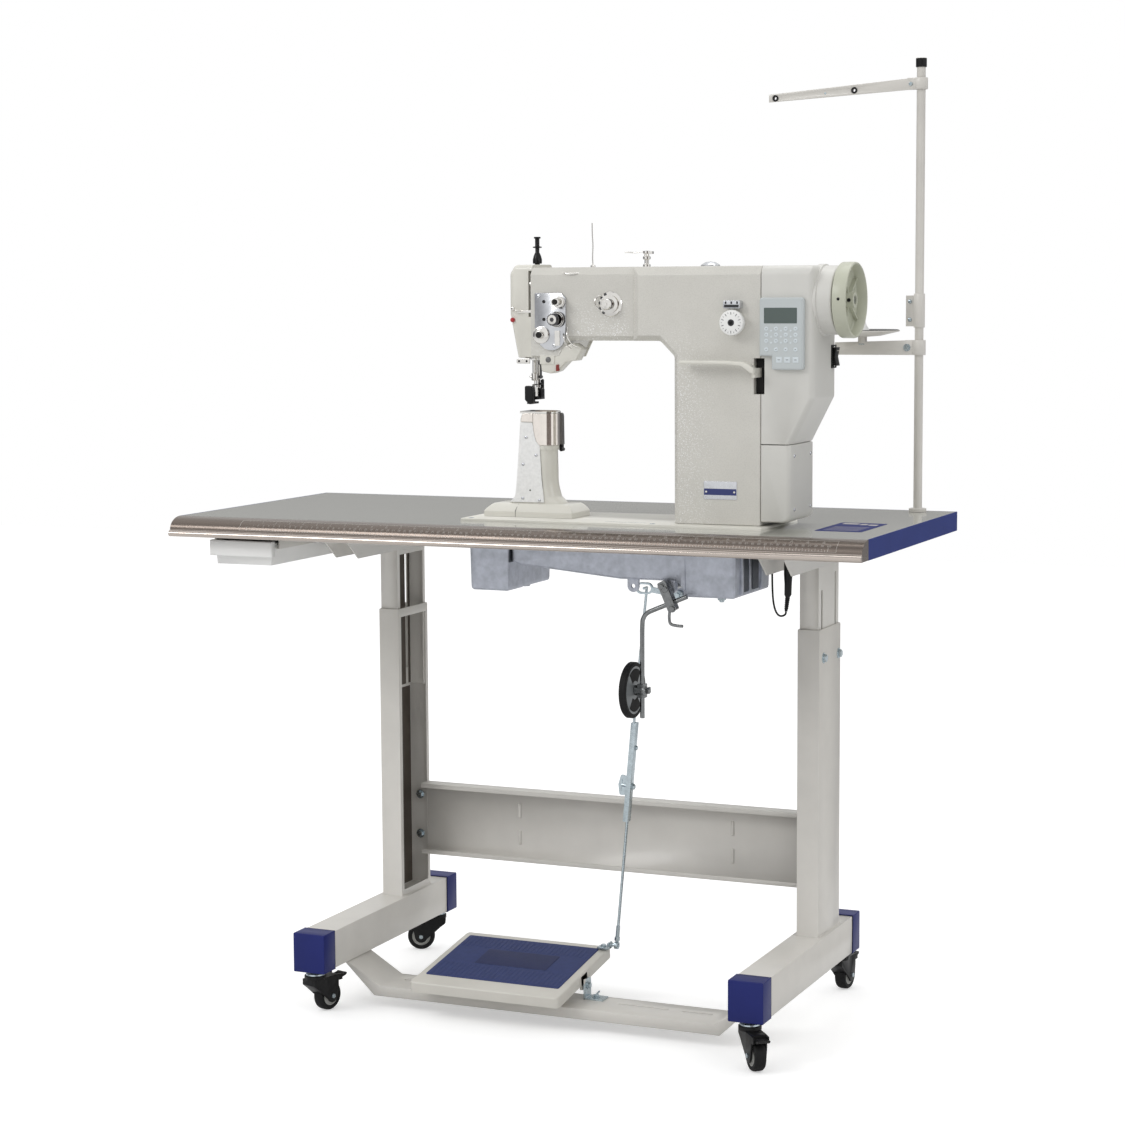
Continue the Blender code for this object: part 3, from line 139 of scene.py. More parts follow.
def make_studio():
    """Plain white surroundings: a soft sky that dims toward the horizon lights the piece.

    Polished metal mirrors a white wall in front, with one dark panel in it.
    """
    world = bpy.data.worlds.new("studio")
    bpy.context.scene.world = world
    world.use_nodes = True
    tree = world.node_tree
    tree.nodes.clear()
    place = add_node(tree, "TexCoord").outputs["Generated"]
    split = add_node(tree, "SeparateXYZ", {0: place})
    sky = add_ramp(tree, split.outputs["Z"], SKY_LEVELS)
    front = add_node(tree, "VectorMath", {0: place, 1: WALL_SIDE}, operation="DOT_PRODUCT").outputs["Value"]
    wall = add_ramp(tree, front, WALL_LEVELS)
    ahead = add_node(tree, "MapRange", {"Value": front, "From Min": -0.30, "From Max": 0.05})
    rays = add_node(tree, "LightPath")
    mirrored = mix_colors(tree, ahead.outputs["Result"], sky, wall)
    shown = mix_colors(tree, rays.outputs["Is Glossy Ray"], sky, mirrored)
    lit = add_node(tree, "Background", {"Color": shown, "Strength": 0.97})
    plain = add_node(tree, "Background", {"Color": (1.0, 1.0, 1.0, 1.0)})
    choose = add_node(tree, "MixShader", {
        "Fac": rays.outputs["Is Camera Ray"], 1: lit.outputs["Background"], 2: plain.outputs["Background"]})
    add_node(tree, "OutputWorld", {"Surface": choose.outputs["Shader"]})
    area_light("key", (-2.2, -3.2, 3.4), 1.8, 44.0)
    area_light("side", (3.4, -1.6, 2.0), 1.2, 8.0, (0.2, 0.0, 0.8))
    area_light("top", (0.3, 0.8, 3.8), 2.0, 14.0)

    mesh = bpy.data.meshes.new("studio_floor")
    corners = rect(-FLOOR_REACH, FLOOR_REACH, -FLOOR_REACH, FLOOR_REACH)
    mesh.from_pydata([(x, y, 0.0) for x, y in corners], [], [(0, 1, 2, 3)])
    floor = bpy.data.objects.new("studio_floor", mesh)
    pale = bpy.data.materials.new("pale_floor")
    pale.use_nodes = True
    tree = pale.node_tree
    shader = tree.nodes["Principled BSDF"]
    shader.inputs["Base Color"].default_value = (0.76, 0.76, 0.76, 1.0)
    shader.inputs["Roughness"].default_value = 0.9
    shader.inputs["Specular IOR Level"].default_value = 0.1
    shader.inputs["Emission Color"].default_value = (1.0, 1.0, 1.0, 1.0)
    glow = multiply(tree, add_node(tree, "LightPath").outputs["Is Camera Ray"], 0.42)
    tree.links.new(glow, shader.inputs["Emission Strength"])
    mesh.materials.append(pale)
    bpy.context.scene.collection.objects.link(floor)
    bpy.context.scene.view_settings.view_transform = "Standard"


# ---------------------------------------------------------------- materials
def srgb(red, green, blue):
    values = []
    for channel in (red, green, blue):
        share = channel / 255.0
        values.append(share / 12.92 if share <= 0.04045 else ((share + 0.055) / 1.055) ** 2.4)
    return values


def finish(
    name, color, roughness, metallic=0.0, mottle=0.05, mottle_size=0.05, grain=0.12, grain_size=0.0015,
    spread=0.06, stretch=(1.0, 1.0, 1.0), coat=0.0, painted_glints=None, specular=0.5,
):
    """A surface with a mottled colour, uneven gloss and a fine grain, all in the piece's own space."""
    made = bpy.data.materials.new(name)
    made.use_nodes = True
    tree = made.node_tree
    shader = tree.nodes["Principled BSDF"]
    shader.inputs["Metallic"].default_value = metallic
    shader.inputs["Specular IOR Level"].default_value = specular
    shader.inputs["Coat Weight"].default_value = coat
    shader.inputs["Coat Roughness"].default_value = 0.08
    linear = srgb(*color)
    made.diffuse_color = (*linear, 1.0)
    place = add_node(tree, "TexCoord").outputs["Object"]
    scaled = add_node(tree, "Mapping", {"Vector": place, "Scale": stretch}).outputs["Vector"]
    cloud = add_node(tree, "TexNoise", {"Vector": scaled, "Scale": 1.0 / mottle_size, "Detail": 5.0})
    dark = [value * (1.0 - mottle) for value in linear]
    light = [min(value * (1.0 + mottle), 1.0) for value in linear]
    shade = add_ramp(tree, cloud.outputs["Fac"], [(0.30, dark), (0.70, light)])
    fine_noise = add_node(tree, "TexNoise", {"Vector": scaled, "Scale": 1.0 / grain_size, "Detail": 3.0})
    fine = fine_noise.outputs["Fac"]
    gloss = add_node(tree, "MapRange", {
        "Value": fine, "To Min": max(roughness - spread, 0.02), "To Max": min(roughness + spread, 1.0)})
    tree.links.new(gloss.outputs["Result"], shader.inputs["Roughness"])
    bump = add_node(tree, "Bump", {"Height": fine, "Strength": grain, "Distance": 0.0004})
    normal = bump.outputs["Normal"]
    if painted_glints:
        shade, normal = add_sparkle(tree, place, shade, normal, painted_glints)
    tree.links.new(shade, shader.inputs["Base Color"])
    tree.links.new(normal, shader.inputs["Normal"])
    return made


def fade(tree, value, gone, solid):
    """Nothing where the value is at gone, all of it where the value is at solid."""
    share = add_node(tree, "MapRange", {"Value": value, "From Min": gone, "From Max": solid})
    return share.outputs["Result"]


def add_sparkle(tree, place, shade, normal, zones):
    """Hammered flecks with bump relief, lightened toward white as painted glints where light falls, that
    fade out across each zone, given as (axis, solid from, gone by).
    """
    split = add_node(tree, "SeparateXYZ", {0: place})
    total = None
    for zone in zones:
        mask = None
        for axis, solid, gone in zone:
            part = fade(tree, split.outputs[axis], gone, solid)
            mask = part if mask is None else multiply(tree, mask, part)
        total = mask if total is None else add_node(
            tree, "Math", {0: total, 1: mask}, operation="MAXIMUM").outputs[0]
    cells = add_node(tree, "TexVoronoi", {"Vector": place, "Scale": 480.0})
    patches = add_node(tree, "TexNoise", {"Vector": place, "Scale": 260.0})
    fleck = fade(tree, cells.outputs["Distance"], 0.42, 0.20)
    chosen = fade(tree, patches.outputs["Fac"], 0.40, 0.54)
    shown = multiply(tree, multiply(tree, fleck, chosen), total)
    # painted highlight: the chosen flecks are lightened to white as glints
    flecked = mix_colors(tree, shown, shade, (1.0, 1.0, 1.0, 1.0))
    relief = add_node(
        tree, "Bump", {"Height": shown, "Strength": 0.5, "Distance": 0.0006, "Normal": normal})
    return flecked, relief.outputs["Normal"]


# zones of painted glints on the head's hammered finish, where light falls on it: axis, solid from, gone by
COLUMN_GLINT_ZONE = [("X", 0.268, 0.330), ("Z", 1.060, 1.170)]
ARM_GLINT_ZONE = [("X", 0.160, 0.172), ("Z", 1.150, 1.205), ("X", 0.075, 0.060)]
IVORY = finish("ivory_enamel", (220, 218, 209), 0.30, mottle=0.03, grain=0.10, coat=0.35)
HEAD_IVORY = finish(
    "ivory_enamel_painted_glints", (208, 206, 199), 0.28, mottle=0.03, grain=0.10, coat=0.35,
    painted_glints=[COLUMN_GLINT_ZONE, ARM_GLINT_ZONE],
)
COVER = finish("grey_moulded_cover", (212, 211, 206), 0.36, mottle=0.02, grain=0.18, grain_size=0.0008)
WHEEL_GREEN = finish("grey_green_moulding", (190, 192, 175), 0.34, mottle=0.03, grain=0.12)
LAMINATE = finish(
    "speckled_laminate", (181, 181, 173), 0.16, mottle=0.05, mottle_size=0.0022, grain=0.03, coat=0.5,
)
EDGE = finish(
    "brushed_taupe", (120, 110, 103), 0.26, 0.85, mottle=0.10, mottle_size=0.02, grain=0.10,
    stretch=(0.04, 1.0, 1.0), spread=0.08,
)
STAND = finish(
    "stand_powder_coat", (213, 210, 204), 0.34, mottle=0.03, grain=0.22, grain_size=0.0010, coat=0.2,
)
PEDAL = finish(
    "pedal_powder_coat", (208, 205, 197), 0.36, mottle=0.03, grain=0.22, grain_size=0.0010, coat=0.2,
)
BLUE = finish("blue_moulding", (28, 37, 104), 0.38, mottle=0.06, grain=0.14, specular=0.25)
BLUE_EDGE = finish("blue_edge_band", (40, 54, 118), 0.55, mottle=0.05, grain=0.08, specular=0.15)
MAT = finish(
    "blue_rubber_mat", (44, 57, 106), 0.62, mottle=0.08, mottle_size=0.01, grain=0.55, grain_size=0.0018,
)
MAT_DARK = finish("dark_blue_mat_panel", (33, 42, 84), 0.60, mottle=0.06, mottle_size=0.01, grain=0.4)
BLACK = finish(
    "black_moulding", (22, 22, 23), 0.36, mottle=0.15, mottle_size=0.02, grain=0.18, specular=0.25,
)
RUBBER = finish(
    "black_rubber", (20, 20, 21), 0.60, mottle=0.15, mottle_size=0.01, grain=0.4, grain_size=0.0007,
    specular=0.25,
)
BLACK_STEEL = finish(
    "blackened_steel", (34, 34, 35), 0.28, 0.7, mottle=0.15, mottle_size=0.01, grain=0.08,
)
HUB_DARK = finish("grey_screw", (112, 112, 112), 0.34, 0.5, mottle=0.05, grain=0.08)
HUB_GREY = finish("grey_hub", (176, 176, 172), 0.35, mottle=0.04, grain=0.10)
ZINC = finish(
    "zinc_plate", (188, 200, 206), 0.26, 1.0, mottle=0.12, mottle_size=0.008, grain=0.10, spread=0.10,
)
CHROME = finish(
    "polished_steel", (226, 224, 220), 0.10, 1.0, mottle=0.04, mottle_size=0.01, grain=0.02, spread=0.04,
)
# painted reflection: a lighter, warmer copy of the polished steel that brightens the hook hood's
# reflections
HOOD_STEEL_PAINTED_BRIGHT = finish(
    "warm_polished_steel_painted_bright_reflection", (238, 231, 224), 0.13, 1.0, mottle=0.03, mottle_size=0.01, grain=0.02,
    spread=0.04,
)
# painted reflection: a darkened copy of the polished steel, standing in for dark reflections on the tension
# parts and the lifting link
CHROME_PAINTED_DARK = finish(
    "polished_steel_painted_dark_reflection", (84, 84, 86), 0.12, 1.0, mottle=0.10, mottle_size=0.004, grain=0.02,
)
SATIN = finish("satin_nickel", (208, 210, 214), 0.24, 1.0, mottle=0.05, mottle_size=0.01, grain=0.05)
CAST = finish(
    "sand_cast_aluminium", (180, 184, 194), 0.42, 0.85, mottle=0.14, mottle_size=0.012, grain=0.9,
    grain_size=0.0016, spread=0.12,
)
# painted shade: a darker copy of the cast aluminium for the pan's gap and side recesses
CAST_SHADE = finish(
    "cast_aluminium_painted_shade", (92, 96, 104), 0.5, 0.8, mottle=0.14, mottle_size=0.012, grain=0.9,
)
# painted highlight: a lighter copy of the brushed taupe for the bright, reflecting lip of the table edge
EDGE_LIP_HIGHLIGHT = finish(
    "brushed_taupe_lip_painted_highlight", (196, 186, 178), 0.14, 0.95, mottle=0.08, mottle_size=0.02, grain=0.06,
    stretch=(0.04, 1.0, 1.0), spread=0.06,
)
# painted shade: dark brown sheets inside the legs' open channels, where shade falls
LEG_CHANNEL_SHADE = finish("dark_leg_channel_painted_shade", (78, 70, 62), 0.5, mottle=0.10, mottle_size=0.06, grain=0.2)
STEEL_ROD = finish(
    "dark_zinc_plate", (132, 134, 135), 0.20, 1.0, mottle=0.14, mottle_size=0.008, grain=0.10,
)
FAINT_INK = finish("faint_ink", (150, 143, 137), 0.45, mottle=0.04, grain=0.05)
FLECKED = finish(
    "white_flecked_cover", (240, 240, 239), 0.34, mottle=0.06, mottle_size=0.004, grain=0.5,
    grain_size=0.0014,
)
WHITE = finish("white_moulding", (240, 240, 238), 0.34, mottle=0.02, grain=0.10)
WHITE_INK = finish("white_ink", (186, 181, 175), 0.45, mottle=0.04, grain=0.05)
DARK_INK = finish("dark_ink", (38, 38, 42), 0.5, mottle=0.05, grain=0.05)
BLUE_INK = finish("blue_ink", (30, 40, 106), 0.60, mottle=0.05, grain=0.03, specular=0.15)
PANEL = finish("panel_film", (193, 199, 200), 0.30, mottle=0.02, grain=0.06)
SCREEN = finish("display_glass", (70, 84, 80), 0.10, mottle=0.04, grain=0.01, coat=0.6)
KEYS = finish("panel_keys", (214, 222, 226), 0.30, mottle=0.03, grain=0.05)
PLATE_BLUE = finish("nameplate_blue", (52, 60, 112), 0.30, 0.3, mottle=0.05, grain=0.05)
LAMP_RED = finish("brown_red_switch", (128, 42, 36), 0.35, mottle=0.10, mottle_size=0.004, grain=0.05)
RED = finish("red_knob", (170, 24, 34), 0.25, mottle=0.05, grain=0.05, coat=0.4)
# painted shade: a near-black fill put in pockets, slots, holes, vents and seam lines, where there is only
# shade
RECESS_SHADE = finish("painted_recess_shade", (24, 23, 22), 0.8, mottle=0.1, grain=0.1)
PAD_GREY = finish("knee_pad_face", (150, 154, 156), 0.34, 0.6, mottle=0.08, grain=0.10)
# painted reflection: an amber-brown metal standing in for what the polished slide lid mirrors
AMBER_PAINTED_REFLECTION = finish("steel_painted_amber_reflection", (176, 138, 92), 0.18, 1.0, mottle=0.06, grain=0.03)


# ---------------------------------------------------------------- outlines
PLANES = {"X": (1, 2, 0), "Y": (0, 2, 1), "Z": (0, 1, 2)}


def spot(axis, a, b, along):
    first, second, third = PLANES[axis]
    xyz = [0.0, 0.0, 0.0]
    xyz[first] = a
    xyz[second] = b
    xyz[third] = along
    return Vector(xyz)


def rect(left, right, low, high, radius=0):
    """The corners of a rectangle, each with its rounding radius when one is given."""
    corners = [(left, low), (right, low), (right, high), (left, high)]
    return [(*corner, radius) for corner in corners] if radius else corners


def ring(centre, radius, count=32):
    angles = [math.radians(90.0 + 360.0 * index / count) for index in range(count)]
    return [(centre[0] + radius * math.cos(a), centre[1] + radius * math.sin(a)) for a in angles]


def counter_clockwise(points):
    area = sum(p[0] * q[1] - q[0] * p[1] for p, q in zip(points, points[1:] + points[:1]))
    return area > 0


def fillet(corners, steps=4):
    """Round the corners of an outline. A corner is (a, b), or (a, b, radius) to round it."""
    points = []
    for index, corner in enumerate(corners):
        here = Vector(corner[:2])
        before = Vector(corners[index - 1][:2]) - here
        after = Vector(corners[(index + 1) % len(corners)][:2]) - here
        radius = corner[2] if len(corner) > 2 else 0.0
        if radius <= 0.0:
            points.append(tuple(here))
            continue
        reach = radius / math.tan(before.angle(after) / 2.0)
        reach = min(reach, 0.49 * before.length, 0.49 * after.length)
        start = here + before.normalized() * reach
        stop = here + after.normalized() * reach
        for step in range(steps + 1):
            share = step / steps
            bent = start * (1 - share) ** 2 + here * 2 * share * (1 - share) + stop * share ** 2
            points.append(tuple(bent))
    return points


SMALLEST_RADIUS = 0.2


def shrunk(corners, depths):
    """Move each edge of an outline inward by its own depth, and tighten its rounded corners to suit."""
    moved = inset([corner[:2] for corner in corners], depths)
    smaller = []
    for index, (corner, place) in enumerate(zip(corners, moved)):
        if len(corner) < 3:
            smaller.append(place)
            continue
        radius = max(corner[2] - max(depths[index - 1], depths[index]), SMALLEST_RADIUS)
        smaller.append((*place, radius))
    return smaller


def inset(points, depths):
    """Move each edge of an outline inward by its own depth."""
    moved = []
    count = len(points)
    for index in range(count):
        here = Vector(points[index])
        along_in = (here - Vector(points[index - 1])).normalized()
        along_out = (Vector(points[(index + 1) % count]) - here).normalized()
        normal_in = Vector((-along_in.y, along_in.x))
        normal_out = Vector((-along_out.y, along_out.x))
        det = normal_in.x * normal_out.y - normal_in.y * normal_out.x
        depth_in = depths[index - 1]
        depth_out = depths[index]
        if abs(det) < 0.02:
            moved.append(tuple(here + normal_out * (depth_in + depth_out) / 2))
            continue
        shift_x = (depth_in * normal_out.y - depth_out * normal_in.y) / det
        shift_y = (depth_out * normal_in.x - depth_in * normal_out.x) / det
        moved.append((here.x + shift_x, here.y + shift_y))
    return moved


def smooth_path(points, per_span=8):
    """Points along a smooth curve through the given points."""
    points = [Vector(point) for point in points]
    padded = [points[0] * 2 - points[1], *points, points[-1] * 2 - points[-2]]
    curve = []
    for index in range(1, len(padded) - 2):
        a, b, c, d = padded[index - 1:index + 3]
        for step in range(per_span):
            t = step / per_span
            curve.append(0.5 * (b * 2 + (c - a) * t + (a * 2 - b * 5 + c * 4 - d) * t * t
                                + (b * 3 - a - c * 3 + d) * t * t * t))
    curve.append(points[-1])
    return curve


# ---------------------------------------------------------------- shapes
SUNK = 0.3
SHARP_FROM = 32.0
BEVEL_FROM = 34.0


class Shape:
    """Solids gathered into one mesh. The matrix maps its own coordinates to bench coordinates."""

    def __init__(self, matrix=None):
        self.mesh = bmesh.new()
        self.matrix = matrix.copy() if matrix is not None else Matrix.Identity(4)

    def loft(self, rings):
        loops = [[self.mesh.verts.new(self.matrix @ Vector(point)) for point in row] for row in rings]
        count = len(loops[0])
        for lower, upper in zip(loops, loops[1:]):
            for index in range(count):
                after = (index + 1) % count
                self.mesh.faces.new((lower[index], lower[after], upper[after], upper[index]))
        self.mesh.faces.new(loops[0])
        self.mesh.faces.new(loops[-1])
        return self

    def prism(self, outline, axis, low, high):
        return self.loft([[spot(axis, a, b, along) for a, b in outline] for along in (low, high)])

    def box(self, x_range, y_range, z_range):
        return self.prism(rect(*x_range, *y_range), "Z", *z_range)

    def pillow(self, corners, depths, axis, low, high, low_depth=0, high_depth=0, steps=4):
        """An extruded outline whose edges round over at both ends by their own depths."""
        if not isinstance(depths, list):
            depths = [depths] * len(corners)
        if not counter_clockwise([corner[:2] for corner in corners]):
            corners = corners[::-1]
            depths = depths[-2::-1] + depths[-1:]
        rows = []
        for end, depth, order in ((low, low_depth, 1), (high, -high_depth, -1)):
            part = []
            for step in range(steps + 1):
                turn = math.pi / 2 * step / steps
                share = 1 - math.sin(turn) if depth else 0.0
                along = end + depth * (1 - math.cos(turn))
                outline = fillet(shrunk(corners, [value * share for value in depths]))
                part.append([spot(axis, a, b, along) for a, b in outline])
                if not depth:
                    break
            rows += part[::order]
        return self.loft(rows)

    def lathe(self, axis, centre, profile, segments=36, closed=False):
        """A turned solid from (radius, distance) pairs: a closed ring, or one that ends on the axis."""
        rows = []
        for radius, along in profile:
            count = 1 if radius < 1e-6 else segments
            rows.append([
                self.mesh.verts.new(self.matrix @ spot(axis, a, b, along))
                for a, b in ring(centre, radius, count)
            ])
        pairs = list(zip(rows, rows[1:]))
        if closed:
            pairs.append((rows[-1], rows[0]))
        for lower, upper in pairs:
            for index in range(segments):
                after = (index + 1) % segments
                corners = [lower[index % len(lower)], lower[after % len(lower)]]
                corners += [upper[after % len(upper)], upper[index % len(upper)]]
                unique = list(dict.fromkeys(corners))
                if len(unique) > 2:
                    self.mesh.faces.new(unique)
        return self

    def disc(self, axis, centre, radius, low, high, edge=0.0, segments=36):
        """A round plate or pin with chamfered rims."""
        edge = min(edge, radius * 0.5, abs(high - low) * 0.5)
        way = 1 if high > low else -1
        profile = [(0.0, low), (radius - edge, low), (radius, low + edge * way)]
        profile += [(radius, high - edge * way), (radius - edge, high), (0.0, high)]
        return self.lathe(axis, centre, profile, segments)

    def tube(self, path, radius, segments=12):
        """A round bar along a path, with a constant or a per-point radius."""
        path = [Vector(point) for point in path]
        radii = radius if isinstance(radius, list) else [radius] * len(path)
        rows = []
        side = None
        for index, here in enumerate(path):
            before = path[max(index - 1, 0)]
            after = path[min(index + 1, len(path) - 1)]
            heading = (after - before).normalized()
            if side is None:
                seed = Vector((0, 0, 1)) if abs(heading.z) < 0.9 else Vector((0, 1, 0))
                side = heading.cross(seed).normalized()
            side = (side - heading * side.dot(heading)).normalized()
            other = heading.cross(side)
            row = []
            for step in range(segments):
                angle = 2 * math.pi * step / segments
                row.append(here + (side * math.cos(angle) + other * math.sin(angle)) * radii[index])
            rows.append(row)
        return self.loft(rows)

    def screw(self, place, normal, radius, height=None, recess=True):
        """A domed screw head with a socket, sunk slightly into a surface."""
        height = height if height is not None else radius * 0.55
        towards = Vector(normal).to_track_quat("Z", "Y").to_matrix().to_4x4()
        kept = self.matrix
        self.matrix = kept @ Matrix.Translation(place) @ towards
        profile = [(0.0, -SUNK), (radius, -SUNK), (radius, height * 0.35), (radius * 0.82, height * 0.8)]
        if recess:
            profile += [(radius * 0.45, height), (radius * 0.42, height * 0.3), (0.0, height * 0.3)]
        else:
            profile += [(radius * 0.45, height), (0.0, height)]
        self.lathe("Z", (0.0, 0.0), profile, 16)
        self.matrix = kept
        return self

    def bolt(self, place, normal, radius, washer=True):
        """A hexagon bolt head on its washer."""
        towards = Vector(normal).to_track_quat("Z", "Y").to_matrix().to_4x4()
        kept = self.matrix
        self.matrix = kept @ Matrix.Translation(place) @ towards
        base = 0.0
        if washer:
            self.disc("Z", (0.0, 0.0), radius * 1.35, -SUNK, radius * 0.22, 0.3, 20)
            base = radius * 0.22
        rows = []
        for share, along in ((1.0, base), (1.0, base + radius * 0.55), (0.86, base + radius * 0.72)):
            rows.append([spot("Z", a, b, along) for a, b in ring((0.0, 0.0), radius * share, 6)])
        self.loft(rows)
        self.matrix = kept
        return self

    def piece(self, name, look, body="table", bevel=0, slot=None, replaces=None, cut=None):
        """Turn the gathered solids into a named piece that rides on a body."""
        bmesh.ops.recalc_face_normals(self.mesh, faces=self.mesh.faces[:])
        mesh = bpy.data.meshes.new(name)
        self.mesh.to_mesh(mesh)
        self.mesh.free()
        mesh.transform(TO_FRAME)
        mesh.materials.append(look)
        mesh.shade_smooth()
        mesh.set_sharp_from_angle(angle=math.radians(SHARP_FROM))
        made = bpy.data.objects.new(name, mesh)
        bpy.context.scene.collection.objects.link(made)
        if bevel:
            add_bevel(made, bevel)
        if cut is not None:
            add_cut(made, cut)
        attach(made, body)
        if replaces:
            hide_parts(replaces)
        return made


def add_bevel(thing, width):
    bevel = thing.modifiers.new("edge_rounding", "BEVEL")
    bevel.width = width * MM
    bevel.segments = 2
    bevel.limit_method = "ANGLE"
    bevel.angle_limit = math.radians(BEVEL_FROM)
    bevel.harden_normals = True


def add_cut(thing, cutter):
    """Cut a hidden solid out of a piece and apply the result."""
    bmesh.ops.recalc_face_normals(cutter.mesh, faces=cutter.mesh.faces[:])
    mesh = bpy.data.meshes.new("cutter")
    cutter.mesh.to_mesh(mesh)
    cutter.mesh.free()
    mesh.transform(TO_FRAME)
    tool = bpy.data.objects.new("cutter", mesh)
    bpy.context.scene.collection.objects.link(tool)
    step = thing.modifiers.new("cut", "BOOLEAN")
    step.operation = "DIFFERENCE"
    step.solver = "EXACT"
    step.object = tool
    graph = bpy.context.evaluated_depsgraph_get()
    result = bpy.data.meshes.new_from_object(thing.evaluated_get(graph), depsgraph=graph)
    thing.modifiers.clear()
    thing.data = result
    bpy.data.objects.remove(tool, do_unlink=True)


def dress(look, *nodes, bevel=0):
    """Give CAD nodes their finish, and round their edges."""
    for node in nodes:
        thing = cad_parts[node]
        for entry in thing.material_slots:
            entry.material = look
        thing.data.shade_smooth()
        weld = thing.modifiers.new("weld", "WELD")
        weld.merge_threshold = 0.01 * MM
        if bevel:
            add_bevel(thing, bevel)


def caster_space(tag):
    """The matrix from a caster's own coordinates, with its trail along +X, to bench coordinates."""
    end, side = tag.split("_")
    stem = Vector((SIDES[side], STEMS[end], 0))
    return Matrix.Translation(stem) @ Matrix.Rotation(math.radians(HEADINGS[tag]), 4, "Z")


# ---------------------------------------------------------------- table stand
def make_casters():
    for tag in HEADINGS:
        space = caster_space(tag)
        hub = (28, 25)
        tyre = [(16.8, -8.8), (20, -9.6), (22.8, -9.2), (24.5, -7), (25, -3.5)]
        tyre += [(radius, -along) for radius, along in reversed(tyre)]
        wheel = Shape(space).lathe("Y", hub, tyre, 40, closed=True)
        wheel.piece(f"tyre_{tag}", RUBBER, f"caster_wheel_{tag}", replaces=f"caster_wheel_{tag}")
        core = Shape(space)
        core.lathe("Y", hub, [(3.4, -9.2), (10, -9.2), (11.2, -7.2), (15, -6.8), (15.8, -8.2), (17.2, -8.4),
                (17.2, 8.4), (15.8, 8.2), (15, 6.8), (11.2, 7.2), (10, 9.2), (3.4, 9.2)], 32, closed=True)
        core.piece(f"wheel_core_{tag}", HUB_GREY, f"caster_wheel_{tag}")
        dress(BLACK, f"caster_fork_{tag}", bevel=0.7)
        trim = Shape(space)
        trim.lathe("Z", (0, 0), [(0, 64.8), (15, 64.8), (16.3, 66.2), (15.8, 68.4), (7, 69), (6.6, 73),
                (0, 73)], 28)
        trim.bolt((28, 13.3, 25), (0, 1, 0), 4.2, washer=False)
        trim.bolt((28, -13.3, 25), (0, -1, 0), 4.2, washer=False)
        trim.piece(f"caster_bearing_{tag}", ZINC, f"caster_{tag}")
        tread = Shape(space)
        profile = [(43.8, 50.5), (56, 51.2), (64, 53.2), (66.6, 56.2), (65.2, 57.9), (60, 56.2),
                (54, 55.6), (43.8, 55.5)]
        tread.prism(profile, "Y", -10.3, 10.3)
        for index in range(4):
            left = 49 + 3.2 * index
            tread.box((left, left + 1.4), (-7.8, 7.8), (55, 56.6))
        tread.piece(f"brake_tread_{tag}", BLACK, f"caster_brake_{tag}", bevel=0.6,
                replaces=f"caster_brake_{tag}")


def make_stand():
    dress(STAND, "leg_left", "leg_right", "table_bracket_left", "table_bracket_right", bevel=0.8)
    dress(STAND, "stretcher", "treadle_bar", bevel=0.9)
    dress(BLUE, *[f"foot_cap_{end}_{side}" for end in STEMS for side in SIDES], bevel=3)
    for side, middle in SIDES.items():
        inner = 1 if side == "left" else -1
        # painted shade: dark sheets inside each leg's open channel
        channel_painted_shade = Shape().box(sorted((middle - inner * 16.45, middle - inner * 16.3)), (75, 182), (141, 500))
        channel_painted_shade.piece(f"leg_channel_painted_shade_{side}", LEG_CHANNEL_SHADE, "base")
        upper = Shape()
        for near, far in ((98.5, 161), (170.5, 179.4)):
            upper.box(sorted((middle - inner * 13.65, middle - inner * 13.45)), (near, far), (506, 755))
        upper.piece(f"inner_leg_channel_painted_shade_{side}", LEG_CHANNEL_SHADE)
        bolts = Shape()
        outer_face = middle - inner * 19
        for y, z in ((93.5, 603.8), (174.3, 601.3)):
            bolts.bolt((outer_face, y, z), (-inner, 0, 0), 6.6)
        inner_face = middle + inner * 17
        for z in (232, 304):
            bolts.bolt((inner_face - inner * 9, 170, z), (0, -1, 0), 6)
        bolts.piece(f"leg_bolts_{side}", ZINC, "base")
        lines = Shape()
        for x in (middle - 19.5, middle + 19.5):
            lines.tube([(x, 72, 138.4), (x, 185, 138.4)], 1.1, 8)
        lines.piece(f"weld_seams_{side}", STAND, "base")
    ticks = Shape()
    for x in (-165, 237):
        for low, high in ((226, 252), (274, 300)):
            ticks.pillow(rect(x - 3, x + 3, low, high, 2), 2.5, "Y", 173, 176, 2.5)
    ticks.piece("stretcher_embossing", STAND, "base")


